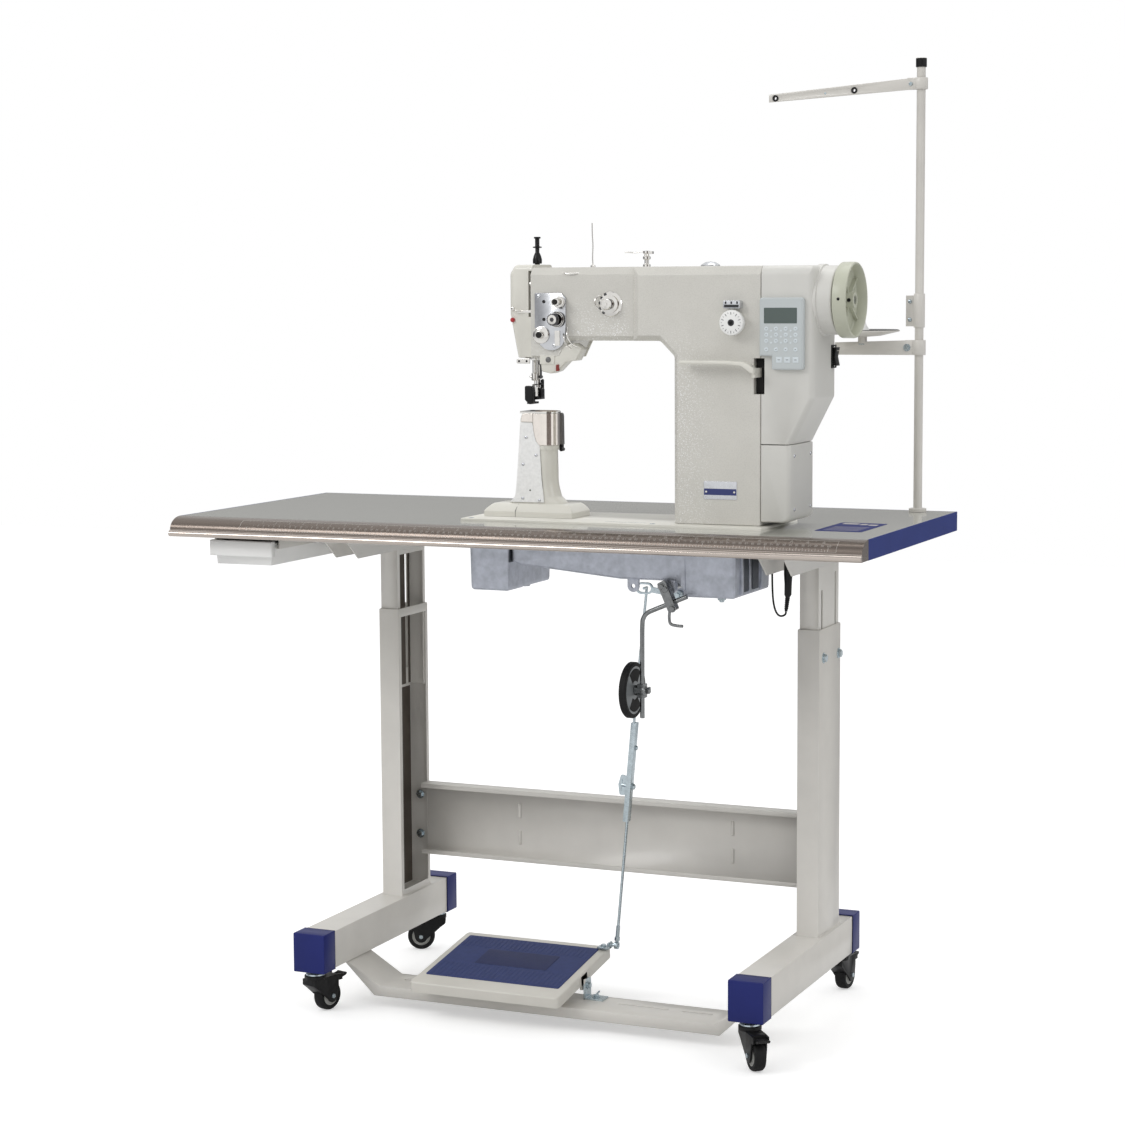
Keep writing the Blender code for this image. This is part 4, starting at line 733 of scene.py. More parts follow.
def make_pedal():
    space = Matrix.Translation((0, -80, 60)) @ Matrix.Rotation(math.radians(8.06), 4, "X")
    shell = Shape(space)
    corners = rect(-201.7, 68.6, -110.1, 118.2, 8)
    shell.pillow(corners, 3, "Z", 3.2, 21.2, 0, 3)
    shell.piece("pedal_plate", PEDAL, "pedal", replaces="pedal")
    mat = Shape(space).pillow(rect(-189, 54, -73.5, 101.5, 4), 1, "Z", 20.8, 22.8, 0, 1)
    for index in range(28):
        left = -184 + 8.4 * index
        for front, back in ((-69, -18), (56, 97)):
            mat.box((left, left + 4.6), (front, back), (22.4, 23.2))
    mat.piece("pedal_mat", MAT, "pedal", bevel=0.2)
    middle = Shape(space).pillow(rect(-128, 4, -12, 50, 2), 0.6, "Z", 22.2, 23.4, 0, 0.6)
    middle.piece("pedal_mat_panel", MAT_DARK, "pedal")
    ears = Shape(space)
    for inner, outer in ((64.6, 68.6), (-201.7, -197.7)):
        ears.pillow([(-13, -6, 5), (13, -6, 5), (13, 20.2), (-13, 20.2)], 0, "X", inner, outer)
    ears.piece("pedal_ears", PEDAL, "pedal", bevel=0.4)
    pins = Shape(space).disc("X", (0, 0), 3, 60, 75, 0.5, 20)
    pins.disc("X", (0, 0), 3, -208.1, -193.1, 0.5, 20)
    pins.piece("pedal_pins", ZINC, "pedal")
    arm = Shape().pillow([(52, 10, 3), (73.6, 10, 6), (73.6, 29, 6), (52, 29, 3)], 0, "Z", 97.8, 100.6)
    arm.box((70.6, 73.6), (12, 28), (97.8, 108.5))
    arm.disc("X", (20, 104.6), 2.8, 70, 89.5, 0.5, 20)
    arm.bolt((73.6, 20, 104.6), (1, 0, 0), 5, washer=False)
    arm.bolt((61, 19.5, 100.6), (0, 0, 1), 4.2)
    arm.piece("pedal_arm", ZINC, "pedal", bevel=0.3)
    clamps = Shape()
    for x, way in ((74.8, 1), (-208, -1)):
        clamps.bolt((x, -80, 60), (way, 0, 0), 5.2)
        foot = x + way * 15
        clamps.bolt((foot, -80, 41), (0, 0, 1), 5)
        clamps.tube([(foot, -92, 48), (foot, -80, 45.5), (foot, -68, 48)], 1.6, 8)
    clamps.piece("pedal_bracket_bolts", ZINC, "base")
    plates = Shape()
    for inner, way in ((71.8, 1), (-205, -1)):
        upright = sorted((inner - way * 0.1, inner + way * 3.1))
        sole = sorted((inner, inner + way * 34.1))
        plates.pillow([(-93.1, 38.2), (-66.9, 38.2), (-66.9, 72.1, 8), (-93.1, 72.1, 8)], 0, "X",
                upright[0], upright[1])
        plates.box(sole, (-93.1, -66.9), (38.2, 41.2))
    plates.piece("pedal_brackets", ZINC, "base", bevel=0.4)


def make_pull_rod():
    dress(ZINC, "pull_rod_lower", "pull_rod_upper", "control_lever", bevel=0.3)
    foot = Vector((85, 20, 104.6))
    head = Vector((146.4, 8, 718.5))
    way = (head - foot).normalized()
    side = way.cross(Vector((0, 1, 0))).normalized()
    across = way.cross(side).normalized()
    space = Matrix.Translation(foot) @ Matrix(((side.x, across.x, way.x, 0), (side.y, across.y, way.y, 0),
            (side.z, across.z, way.z, 0), (0, 0, 0, 1)))
    clamp = Shape(space)
    clamp.pillow([(4.2, 262, 2), (17.5, 260, 4), (21, 278, 5), (17.5, 296, 4), (4.2, 294, 2)], 0, "Y", -1.2,
            1.2)
    clamp.bolt((-4.3, 0, 278), (-1, 0, 0), 4.8)
    clamp.bolt((-4.3, 0, 345), (-1, 0, 0), 3.6)
    clamp.piece("pull_rod_wing_clamp", ZINC, "pull_rod_upper", bevel=0.2)
    nuts = Shape(space).disc("Z", (0, 0), 4.6, 8, 15, 0.5, 6)
    nuts.lathe("Z", (0, 0), rect(0, 3.4, 15, 34), 16)
    nuts.piece("pull_rod_eye_nut", ZINC, "pull_rod_lower")


def make_knee_lifter():
    x, y, z = 250, -165, 740
    bar = Shape()
    route = [(283.5, y, 728.5), (260, y, 718.7), (230, y, 706.3), (216, y, 699.5), (209.5, y, 690.5),
            (207.8, y, 678), (207.5, y, 640), (207.5, y, 531)]
    bar.tube(smooth_path(route, 6), 3.7, 16)
    bar.disc("Y", (x, z), 5, -178, -62, 0.8, 24)
    bar.piece("knee_lift_bar", STEEL_ROD, "knee_lifter", replaces="knee_lifter")
    block = Shape()
    block.pillow([(236, 748, 3), (249.5, 755.2, 4), (268.8, 708.5, 3), (256, 702.2, 3)], 1, "Y", -174.5,
            -158.5, 1, 1)
    block.bolt((244, -174.5, 744), (0, -1, 0), 4.6)
    block.bolt((262.5, -174.5, 710), (0, -1, 0), 4.6)
    block.piece("knee_lift_block", STEEL_ROD, "knee_lifter")
    crank = Shape().tube(smooth_path([(256, y - 4, 706), (255.3, y - 4, 693.5), (257.5, y - 4, 685),
            (267, y - 4, 682.5), (278, y - 4, 682)], 6), 2.4, 12)
    crank.piece("knee_lift_handle", STEEL_ROD, "knee_lifter")
    centre = (y, 575.1)
    pad = Shape()
    pad.lathe("X", centre, [(38.5, 185.2), (39.5, 184.2), (43, 184.2), (45, 186.2), (45, 194), (43, 195.8),
            (38.5, 195.8)], 48, closed=True)
    pad.piece("knee_pad_rim", RUBBER, "knee_lifter")
    face = Shape()
    face.lathe("X", centre, [(0, 186.8), (12, 186.8), (13.5, 187.6), (38.8, 187.6), (38.8, 195), (0, 195)],
            48)
    face.piece("knee_pad_face", PAD_GREY, "knee_lifter")
    # painted shade: dark fills in the knee pad's slots
    slots = Shape()
    for up in (-1, 1):
        outline = [(math.radians(90 + angle), 34.5) for angle in range(-40, 41, 4)]
        outline += [(math.radians(90 + angle), 15) for angle in range(40, -41, -4)]
        points = [(centre[0] + r * math.cos(a), centre[1] + up * r * math.sin(a)) for a, r in outline]
        slots.prism(points, "X", 187.2, 188)
        slots.prism(points, "X", 194.6, 195.5)
    slots.piece("knee_pad_slots", RECESS_SHADE, "knee_lifter")
    hub = Shape().disc("X", centre, 8.5, 195, 214, 1, 24)
    hub.box((201, 213.5), (y - 6.5, y + 6.5), (564, 586.2))
    hub.pillow([(y - 15, 570, 3), (y + 15, 570, 3), (y + 13, 580.2, 3), (y - 13, 580.2, 3)], 0, "X", 214,
            216.8)
    hub.bolt((216.8, y, 575.1), (1, 0, 0), 5, washer=False)
    hub.piece("knee_pad_clamp", STEEL_ROD, "knee_lifter", bevel=0.4)


# ---------------------------------------------------------------- table
def ring_plate(shape, outer, inner, low, high):
    """A flat plate with a rectangular hole through it."""
    rows = []
    for bounds in (outer, inner):
        rows.append([[shape.mesh.verts.new((x, y, z)) for x, y in rect(*bounds)] for z in (low, high)])
    (out_low, out_high), (in_low, in_high) = rows
    for index in range(4):
        after = (index + 1) % 4
        shape.mesh.faces.new((out_low[index], out_low[after], out_high[after], out_high[index]))
        shape.mesh.faces.new((in_low[index], in_high[index], in_high[after], in_low[after]))
        shape.mesh.faces.new((out_high[index], out_high[after], in_high[after], in_high[index]))
        shape.mesh.faces.new((out_low[index], in_low[index], in_low[after], out_low[after]))
    return shape


def edge_point(angle, lift=0):
    """A point on the rounded front edge of the table; the angle runs from its ledge up to the top."""
    turn = math.radians(180.0 - angle)
    a = 32.5
    b = 20.5
    normal = Vector((math.cos(turn) / a, math.sin(turn) / b)).normalized()
    return Vector((-234 + a * math.cos(turn), 815.5 + b * math.sin(turn))) + normal * lift


def edge_mark(shape, left, right, low, high):
    """A thin printed mark on the rounded edge, between two positions along it and two angles."""
    spans = max(1, round((high - low) / 8))
    outline = []
    for index in range(spans + 1):
        outline.append(tuple(edge_point(low + (high - low) * index / spans, 0.12)))
    for index in range(spans, -1, -1):
        outline.append(tuple(edge_point(low + (high - low) * index / spans, -0.4)))
    shape.prism(outline, "X", left, right)


SEGMENTS = {
    "top": (0, 1, 2, 2), "upper_left": (0, 0, 1, 2), "upper_right": (1, 1, 1, 2), "middle": (0, 1, 1, 1),
    "lower_left": (0, 0, 0, 1), "lower_right": (1, 1, 0, 1), "bottom": (0, 1, 0, 0),
}
DIGITS = {
    "0": "top upper_left upper_right lower_left lower_right bottom", "1": "upper_right lower_right",
    "2": "top upper_right middle lower_left bottom", "3": "top upper_right middle lower_right bottom",
    "4": "upper_left upper_right middle lower_right", "5": "top upper_left middle lower_right bottom",
    "6": "top upper_left middle lower_left lower_right bottom", "7": "top upper_right lower_right",
    "8": "top upper_left upper_right middle lower_left lower_right bottom",
    "9": "top upper_left upper_right middle lower_right bottom",
}


def edge_number(shape, text, middle, low):
    """A small number on the rounded edge, drawn with straight strokes."""
    wide = 1.6
    tall = 3.6
    stroke = 0.28
    left = middle - (len(text) * (wide + 0.9) - 0.9) / 2
    for character in text:
        for name in DIGITS[character].split():
            near, far, bottom, top = SEGMENTS[name]
            x_low = left + near * wide - stroke
            x_high = left + far * wide + stroke
            edge_mark(shape, x_low, x_high, low + bottom * tall - 0.7, low + top * tall + 0.7)
        left += wide + 0.9


def make_table():
    rail = Shape()
    outline = [(-234.5, 804.5), (-264, 804.5), (-266.2, 814)]
    outline += [tuple(edge_point(angle)) for angle in range(0, 91, 5)]
    rail.prism([*outline, (-234, 804.5)], "X", -600, 600)
    rail.piece("edge_rail", EDGE, replaces="front_edge")
    lip = Shape()
    outline = [(-263, 804.2), (-268, 804.1)]
    for angle in range(-80, 61, 14):
        turn = math.radians(angle)
        outline.append((-268 - 5 * math.cos(turn), 809 + 4.9 * math.sin(turn)))
    outline += [(-269, 814.3), (-267.2, 815), (-266.4, 816.2), (-263, 816.2)]
    lip.prism(outline, "X", -599.9, 599.9)
    lip.piece("edge_lip", EDGE_LIP_HIGHLIGHT)
    board = Shape()
    hole = (-114.5, 404.5, -158.5, 20.5)
    ring_plate(board, (-597.8, 597.8, -233.7, 270.8), hole, 804, 836)
    board.piece("table_board", LAMINATE, bevel=0.5, replaces="tabletop")
    band = Shape()
    for low, high in ((-600, -597.8), (597.8, 600)):
        band.box((low, high), (-233.7, 273), (804, 836))
    band.box((-597.8, 597.8), (270.8, 273), (804, 836))
    band.piece("table_edge_band", BLUE_EDGE, bevel=0.5)
    rule = Shape()
    start = -453.5
    edge_mark(rule, -467.5, 559.7, 8, 8.9)
    edge_mark(rule, -467.5, 559.7, 60, 61.2)
    for x in (-467.5, 559.2):
        edge_mark(rule, x, x + 0.5, 8, 61.2)
    for index in range(201):
        x = start + index * 5
        length = 17 if index % 20 == 0 else 14 if index % 10 == 0 else 11 if index % 2 == 0 else 7
        edge_mark(rule, x - 0.35, x + 0.35, 9, 9 + length)
    rule.piece("edge_rule", WHITE_INK)
    fine = Shape()
    edge_mark(fine, start, start + 1000, 40.6, 41.1)
    for index in range(158):
        x = start + index * 6.35
        length = 10 if index % 4 == 0 else 6 if index % 2 == 0 else 3.6
        edge_mark(fine, x - 0.25, x + 0.25, 60.2 - length, 60.2)
    for number in range(1, 101):
        edge_number(fine, str(number), start + number * 10, 29)
    for number in range(1, 40):
        edge_number(fine, str(number), start + number * 25.4, 43)
    fine.piece("edge_rule_numbers", FAINT_INK)
    label = Shape().pillow(rect(480, 556, -128, 16, 4), 0, "Z", 835.9, 836.3)
    label.piece("table_label", BLUE_INK)
    bars = Shape()
    for index, (left, right) in enumerate(((488, 514), (518, 530), (534, 548))):
        bars.box((left, right), (-10 - 6 * index, 6 - 6 * index), (836.2, 836.4))
    for index in range(5):
        bars.box((490, 546), (-112 + 14 * index, -110 + 14 * index), (836.2, 836.4))
    bars.piece("table_label_marks", WHITE_INK)
    screws = Shape()
    for side in SIDES.values():
        for y in (-110, 30, 210):
            for x in (side - 13.5, side + 13.5):
                screws.bolt((x, y, 800.8), (0, 0, -1), 4.5)
    screws.piece("table_bracket_screws", ZINC)


def make_drawer():
    middle = -476.5
    dress(STAND, "drawer_rail", bevel=0.5)
    dress(WHITE, "drawer", bevel=1)
    front = Shape().pillow([(middle - 59.4, 772.7, 4), (middle + 58.4, 772.7, 4), (middle + 58.4, 798.3, 3),
            (middle - 59.4, 798.3, 3)], 2, "Y", -246.2, -235, 2.2)
    front.piece("drawer_lip", WHITE, "drawer")


# ---------------------------------------------------------------- bed, pan and post
def make_bed():
    dress(IVORY, "bed_plate", bevel=1)
    trim = Shape()
    for x, y in ((-100.5, -145), (-100.5, 7), (392, 7), (218, -146)):
        trim.disc("Z", (x, y), 4.8, 839, 840.3, 0.3, 24)
    trim.box((132, 203), (-135.2, -134.4), (839.6, 840.2))
    trim.piece("bed_screws", ZINC)
    make_oil_pan()


def make_oil_pan():
    high = 811.7
    front, back = -155, 17
    pan = Shape()
    for left, right, base, radii in ((-102, -29, 723.5, (10, 4)), (272, 360, 726.2, (5, 6))):
        corners = [(left, front, radii[0]), (right, front, radii[1]), (right, back, 8), (left, back, 8)]
        rows = []
        for z, depth in ((high, 0), (base + 6, 1.8), (base + 2, 2.6), (base + 0.5, 4), (base, 6.2)):
            outline = fillet(shrunk(corners, [depth] * 4), 5)
            rows.append([spot("Z", a, b, z) for a, b in outline])
        pan.loft(rows)
    tray = [(-28, high), (-28, 772, 4), (-5, 766, 10), (165, 750.5, 20), (260, 750.5, 4), (270, 740, 6),
            (276.2, 730, 4), (276.2, high)]
    pan.pillow(tray, [14, 4, 4.5, 4.5, 3, 2, 0, 0], "Y", front, back, 12, 6, steps=6)
    pan.tube([(-10, front + 4, 769), (165, front + 4, 752.8), (256, front + 4, 752.8)], 2, 10)
    rounded = [point for point in ring((186, 740), 9.8, 48) if point[1] < 740]
    ear = Shape().prism([(176.2, 752), *rounded, (195.8, 752)], "Y", -150, -145)
    hole = Shape().disc("Y", (186, 740), 3.6, -160, -140, 0, 24)
    ear.piece("pan_ear", CAST, bevel=0.6, cut=hole)
    for near, far in ((-153, -141), (-80, -68)):
        pan.pillow([(241, 752), (241, 731, 6), (259, 731, 6), (259, 752)], 0.5, "Y", near, far, 0.5, 0.5)
    pan.box((197.7, 213.7), (3.2, 7.2), (701.5, 752))
    pan.disc("Y", (205.7, 709.5), 3, -5.2, 4, 0.4, 20)
    for y in (-123, -88, -30):
        pan.pillow([(y - 3.5, 730, 1), (y + 3.5, 730, 1), (y + 3, high), (y - 3, high)], 0.8, "X", 358,
                362.5, 0, 1.2)
    for x in (-86, -44):
        pan.disc("Z", (x, -60), 9, 721, 725, 1, 24)
    pan.pillow([(-97.5, -150.5, 6), (-33.5, -150.5, 4), (-33.5, -90, 4), (-97.5, -90, 4)], 1, "Z", 722.8,
            724.5, 0.8)
    pan.disc("Z", (318, -100), 10, 723.5, 727.5, 1.2, 28)
    pan.piece("pan_casting", CAST, replaces="oil_pan")
    # painted shade: dark strips in the gap between tub and tray and in the side recesses
    gap = Shape().box((-28.8, -27.8), (front + 1.5, back), (770, high))
    for y in (-106, -59):
        gap.pillow(rect(y - 15, y + 15, 733, 808, 3), 0, "X", 359.4, 360.3)
    gap.piece("pan_recess_painted_shade", CAST_SHADE)
    details = Shape().bolt((318, -100, 723.5), (0, 0, -1), 6.8)
    details.disc("Z", (318, -100), 4, 714, 719, 1, 20)
    details.disc("Z", (250, -30), 5, 745, 752, 1, 20)
    details.bolt((205.7, -4.6, 709.5), (0, -1, 0), 4.8)
    details.piece("pan_bolts", ZINC)


def half_round(left, right, half, z, steps=24):
    """A level outline about the needle's line: square on the left, half round on the right."""
    outline = [(left, NEEDLE[1] + half), (left, NEEDLE[1] - half)]
    for step in range(steps + 1):
        turn = math.radians(-90.0 + 180.0 * step / steps)
        outline.append((right - half + half * math.cos(turn), NEEDLE[1] + half * math.sin(turn)))
    return [Vector((x, y, z)) for x, y in outline]


def make_post():
    body = Shape()
    flare = [(-62, 42, 856), (-53, 36.6, 864), (-47.5, 30.2, 870), (-44.8, 26.6, 875), (-42.4, 21.7, 895),
            (-40.5, 21.1, 917), (-38.1, 20.3, 947)]
    levels = smooth_path(flare, 4)
    levels += [(-37.8, 23, 951), (-37, 23, 966), (-34.6, 23, 1000), (-31.9, 23, 1008.2)]
    body.loft([half_round(left, right, POST_HALF, z) for left, right, z in levels])
    near, far = NEEDLE[1] - 17.5, NEEDLE[1] + 17.5
    edge = HOOD_LEFT - 0.3
    outline = [(-23.5, near), (edge, near), (edge, -120), (60, -120), (60, -20), (edge, -20), (edge, far),
            (-23.5, far)]
    room = Shape().prism(outline, "Z", 956.5, 1020)
    body.piece("post_casting", IVORY, replaces="post_body", cut=room)
    foot = Shape()
    corners = rect(-94.5, 65, -111, -37, 4)
    rows = []
    for z, share in ((840.3, 0.0), (848.8, 0.0), (850, 0.06), (854, 0.34), (858.5, 0.7), (860.5, 0.9),
            (861.2, 1.04)):
        depth = 13.5 * share
        outline = fillet(shrunk(corners, [depth, depth, depth * 0.5, depth]))
        rows.append([spot("Z", a, b, z) for a, b in outline])
    foot.loft(rows)
    foot.piece("post_foot", IVORY)
    # painted shade: the seam groove between foot and post, filled with the dark recess shade
    seam = Shape()
    outline = [(-111.2, 840.4), (-111.2, 850.2), (-99, 860.5), (-98, 859.5), (-110.4, 849), (-110.4, 840.4)]
    seam.prism(outline, "X", -37.3, -36.7)
    seam.piece("post_foot_seam", RECESS_SHADE)
    cover = Shape()
    right_edge = smooth_path([(6.9, 863.6), (5.9, 878), (3.2, 899), (0.9, 936), (-0.2, 955)], 4)
    swoop = smooth_path([(-1, 957.5), (-4.5, 960.8), (-7.8, 966.7), (-9.8, 974), (-11.3, 981.6),
            (-11.8, 987), (-13.2, 993.5)], 4)
    left_edge = smooth_path([(-34.8, 994.5), (-37.6, 954), (-40.2, 920), (-42.2, 895), (-44.6, 875.6),
            (-47.8, 870), (-53.8, 863.2)], 3)
    outline = [tuple(point)[:2] for point in right_edge + swoop + left_edge]
    cover.prism(outline, "Y", -94.3, -93.4)
    cover.piece("post_side_cover", FLECKED, bevel=0.3, replaces="post_cover")
    # painted shadow: a dark sheet behind the side cover, seen as a dark line round its edge
    cover_shadow_sheet = Shape()
    cover_shadow_sheet.prism([(6, 865), (0.2, 936), (-1.2, 955.2), (-13.8, 956.2), (-13.8, 993.5), (-33.8, 993.5),
            (-39.6, 920), (-44, 876), (-50, 865)], "Y", -93.5, -92.4)
    cover_shadow_sheet.piece("post_cover_painted_shadow_line", RECESS_SHADE)
    screws = Shape()
    for x, z in ((-24.3, 969.6), (-6.6, 940.7), (-29.9, 925.6), (-30.9, 869.8), (-1.2, 867.2)):
        screws.screw((x, -94.3, z), (0, -1, 0), 2.7, 1)
    screws.piece("post_cover_screws", SATIN)
    # painted shade: a dark disc in the cover's hole
    hole = Shape().disc("Y", (-17.7, 883.2), 1.4, -94.5, -94, 0, 16)
    hole.piece("post_cover_hole", RECESS_SHADE)
    hood = Shape()
    outer = [(point.x, point.y) for point in half_round(HOOD_LEFT, HOOD_RIGHT, POST_HALF + 0.6, 0, 36)]
    inner = [(point.x, point.y)
            for point in half_round(HOOD_LEFT, HOOD_RIGHT - 1.4, POST_HALF - 0.8, 0, 36)]
    skin = outer[1:] + [outer[0]] + [inner[0]] + inner[:0:-1]
    hood.prism(skin, "Z", 956.8, 1008.6)
    wing = [(-34.1, 995), (-12.6, 995), (-12.6, 1008.6), (-29, 1008.6), (-31.8, 1007)]
    hood.prism(wing, "Y", -93.6, -92.2)
    hood.piece("hook_hood", HOOD_STEEL_PAINTED_BRIGHT, bevel=0.4, replaces="hook_cover")
    plate = Shape()
    reach = POST_HALF + 1.4
    rows = [half_round(-35.3, HOOD_RIGHT + 0.8, reach, z, 36) for z in (1008.8, 1011.5)]
    rows += [half_round(-34.6, HOOD_RIGHT + 0.1, reach - 0.7, 1012.5, 36)]
    plate.loft(rows)
    needle_hole = Shape().disc("Z", NEEDLE, 1.6, 1000, 1020, 0, 20)
    plate.piece("throat_plate", CHROME, cut=needle_hole)
    # painted reflection: the lid's amber colour stands in for its mirrored surroundings
    lid = Shape().loft([half_round(-9.5, HOOD_RIGHT - 3, POST_HALF - 3, z, 36) for z in (1012, 1012.7)])
    lid.piece("slide_lid", AMBER_PAINTED_REFLECTION)
    teeth = Shape()
    for row in (-1, 1):
        for index in range(6):
            along = NEEDLE[1] - 7 + 2.6 * index
            x = NEEDLE[0] + 4.2 * row
            teeth.box((x - 0.9, x + 0.9), (along, along + 1.4), (1012, 1013.1))
    teeth.piece("feed_teeth", BLACK_STEEL)
    latch = Shape()
    strap = [(1009, 6), (1009, HOOD_RIGHT - 1), (1008, HOOD_RIGHT + 1), (1004, HOOD_RIGHT + 2),
            (957, HOOD_RIGHT + 2.6), (957, HOOD_RIGHT - 6), (1004, HOOD_RIGHT - 6), (1007, 6)]
    latch.prism([(x, z) for z, x in strap], "Y", -61, -55)
    latch.piece("hood_latch", HUB_DARK, bevel=0.6)
    hinge = Shape().disc("Y", (HOOD_RIGHT - 0.6, 949), 3.2, -64, -53, 0.6, 20)
    hinge.box((HOOD_RIGHT - 4, HOOD_RIGHT + 1), (-62, -54.5), (950, 957.2))
    hinge.piece("hood_latch_hinge", BLACK_STEEL, bevel=0.4)
    collar = Shape()
    levels = ((949, 0), (950, 0.8), (956, 0.8))
    collar.loft([half_round(HOOD_LEFT, 22.6, POST_HALF + shift, z, 36) for z, shift in levels])
    collar.piece("hood_collar", IVORY)
    hook = Shape()
    hook.lathe("Z", HOOK, [(0, 883), (4, 883), (4, 967.5), (12, 968), (17, 971), (17.5, 979), (16, 981),
            (16, 984), (17.5, 986), (17.5, 1000), (16.5, 1001), (13.5, 1001), (13, 996), (5, 996),
            (4.6, 999), (0, 999)], 36)
    hook.piece("hook_and_bobbin", SATIN, "rotary_hook", replaces="rotary_hook")


# ---------------------------------------------------------------- head
def lever_slot():
    return Shape().box((381.4, 399.2), (-140, -60), (1046, 1102))


def make_head():
    left, right, top, low = -3.5, 392.5, 1245, 840.3
    split_x = 175.6
    arm = Shape()
    corners = [(left, 1099.6), (48, 1099.6, 4), (62, 1128, 6), (split_x, 1128), (split_x, top), (left, top)]
    arm.pillow(corners, [4, 4, 7.5, 0, 12, 0], "Y", -118, -14.5, 7.5, 15, steps=1)
    arm.piece("head_arm", HEAD_IVORY, bevel=2.2, replaces="head_casting")
    column = Shape()
    corners = [(split_x, 1128), (221.7, 1128, 10), (245.7, 1104, 10), (245.7, low), (right, low),
            (right, top), (split_x, top)]
    column.pillow(corners, [8.5, 8.5, 8.5, 0, 0, 13, 12], "Y", -130, -14.5, 10, steps=1)
    column.piece("head_column", HEAD_IVORY, bevel=2.2, cut=lever_slot())
    shoulder = Shape()
    clear_left = left - 0.2
    shoulder.pillow(
        rect(clear_left, right, 1229, 1244.8), [0, 0, 15.5, 0], "Y", -60, -12.2, 0, 15.5, steps=6)
    dress(IVORY, "rear_cover", bevel=0.6)
    screws = Shape()
    for x, z in ((12, 1215), (12, 1115), (180, 1215), (180, 1142), (380, 1215), (260, 1000), (380, 1000),
            (260, 860), (380, 860)):
        screws.screw((x, -12, z), (0, 1, 0), 3.6)
    screws.piece("rear_cover_screws", SATIN)
    shoulder.piece("head_rear_shoulder", IVORY)
    # painted shade: a dark box inside the lever slot in the column
    pocket = Shape().box((381.6, 392.4), (-118, -60.5), (1046.2, 1101.8))
    pocket.piece("lever_pocket_painted_shade", RECESS_SHADE)
    plate = Shape().pillow(rect(298.7, 354.1, 880.3, 908.8, 1), 0.3, "Y", -130.9, -129.6, 0.3)
    plate.piece("nameplate", SATIN)
    stripe = Shape().box((299.5, 353.3), (-131.1, -130), (887.2, 897.2))
    stripe.piece("nameplate_stripe", PLATE_BLUE)
    rivets = Shape()
    for x in (303, 349.8):
        rivets.screw((x, -131.1, 892.2), (0, -1, 0), 1.8, recess=False)
    rivets.piece("nameplate_rivets", CHROME)


def make_face():
    cover = Shape()
    corners = [(-31, 1099.6, 4), (-3.8, 1099.6), (-3.8, 1250), (-36, 1250, 10), (-45, 1236, 10),
            (-45, 1172, 20)]
    cover.pillow(corners, [2, 0, 8, 8, 8, 6], "Y", -112, -30, 9, 9, steps=5)
    slot = Shape().box((-10.2, 1), (-125, -60), (1166, 1240))
    cover.piece("face_casing", IVORY, replaces="face_cover", cut=slot)
    # painted shade: a dark box inside the take-up lever's slot
    slot_shade = Shape().box((-10.1, -3.6), (-100, -59.8), (1165.8, 1240.2))
    slot_shade.piece("take_up_slot_painted_shade", RECESS_SHADE)
    lever = Shape()
    x = -7.25
    arm = [(-56, 1179), (-70, 1190), (-90, 1207), (-106, 1220), (-110.5, 1221.5)]
    lever.tube(smooth_path([(x, y, z) for y, z in arm], 5), 1.2, 12)
    lever.lathe("X", (-108.5, 1219.5), rect(1.4, 3, x - 1.2, x + 1.2), 20, closed=True)
    lever.piece("take_up_arm", CHROME, "take_up_lever", replaces="take_up_lever")
    guide = Shape().tube(smooth_path([(-38, -113, 1179), (-33, -118.5, 1177.5), (-26, -119, 1175.5),
            (-21.5, -115, 1174.5)], 5), 0.9, 10)
    guide.screw((-38, -111.8, 1179), (0, -1, 0), 3.4)
    guide.box((-30, 2), (-113, -111.8), (1172.5, 1176.5))
    guide.piece("face_thread_guide", CHROME, bevel=0.2)
    button = Shape().screw((-38, -111.5, 1161), (0, -1, 0), 4, 5, recess=False)
    button.piece("face_release_button", RED)
    holder = Shape()
    holder.pillow([(-31.5, 1090.5, 3), (-8, 1090.5, 1), (-8, 1098.5, 1), (-31.5, 1098.5, 3)], 0.4, "Y",
            -113.5, -111.8, 0.4)
    holder.box((-18, -9), (-112.5, -90), (1098.5, 1099.7))
    holder.piece("lower_thread_guide", CHROME)
    pins = Shape()
    for x in (-27, -13.5):
        pins.screw((x, -113.4, 1094.5), (0, -1, 0), 1.8)
    pins.piece("lower_thread_guide_screws", BLACK_STEEL)


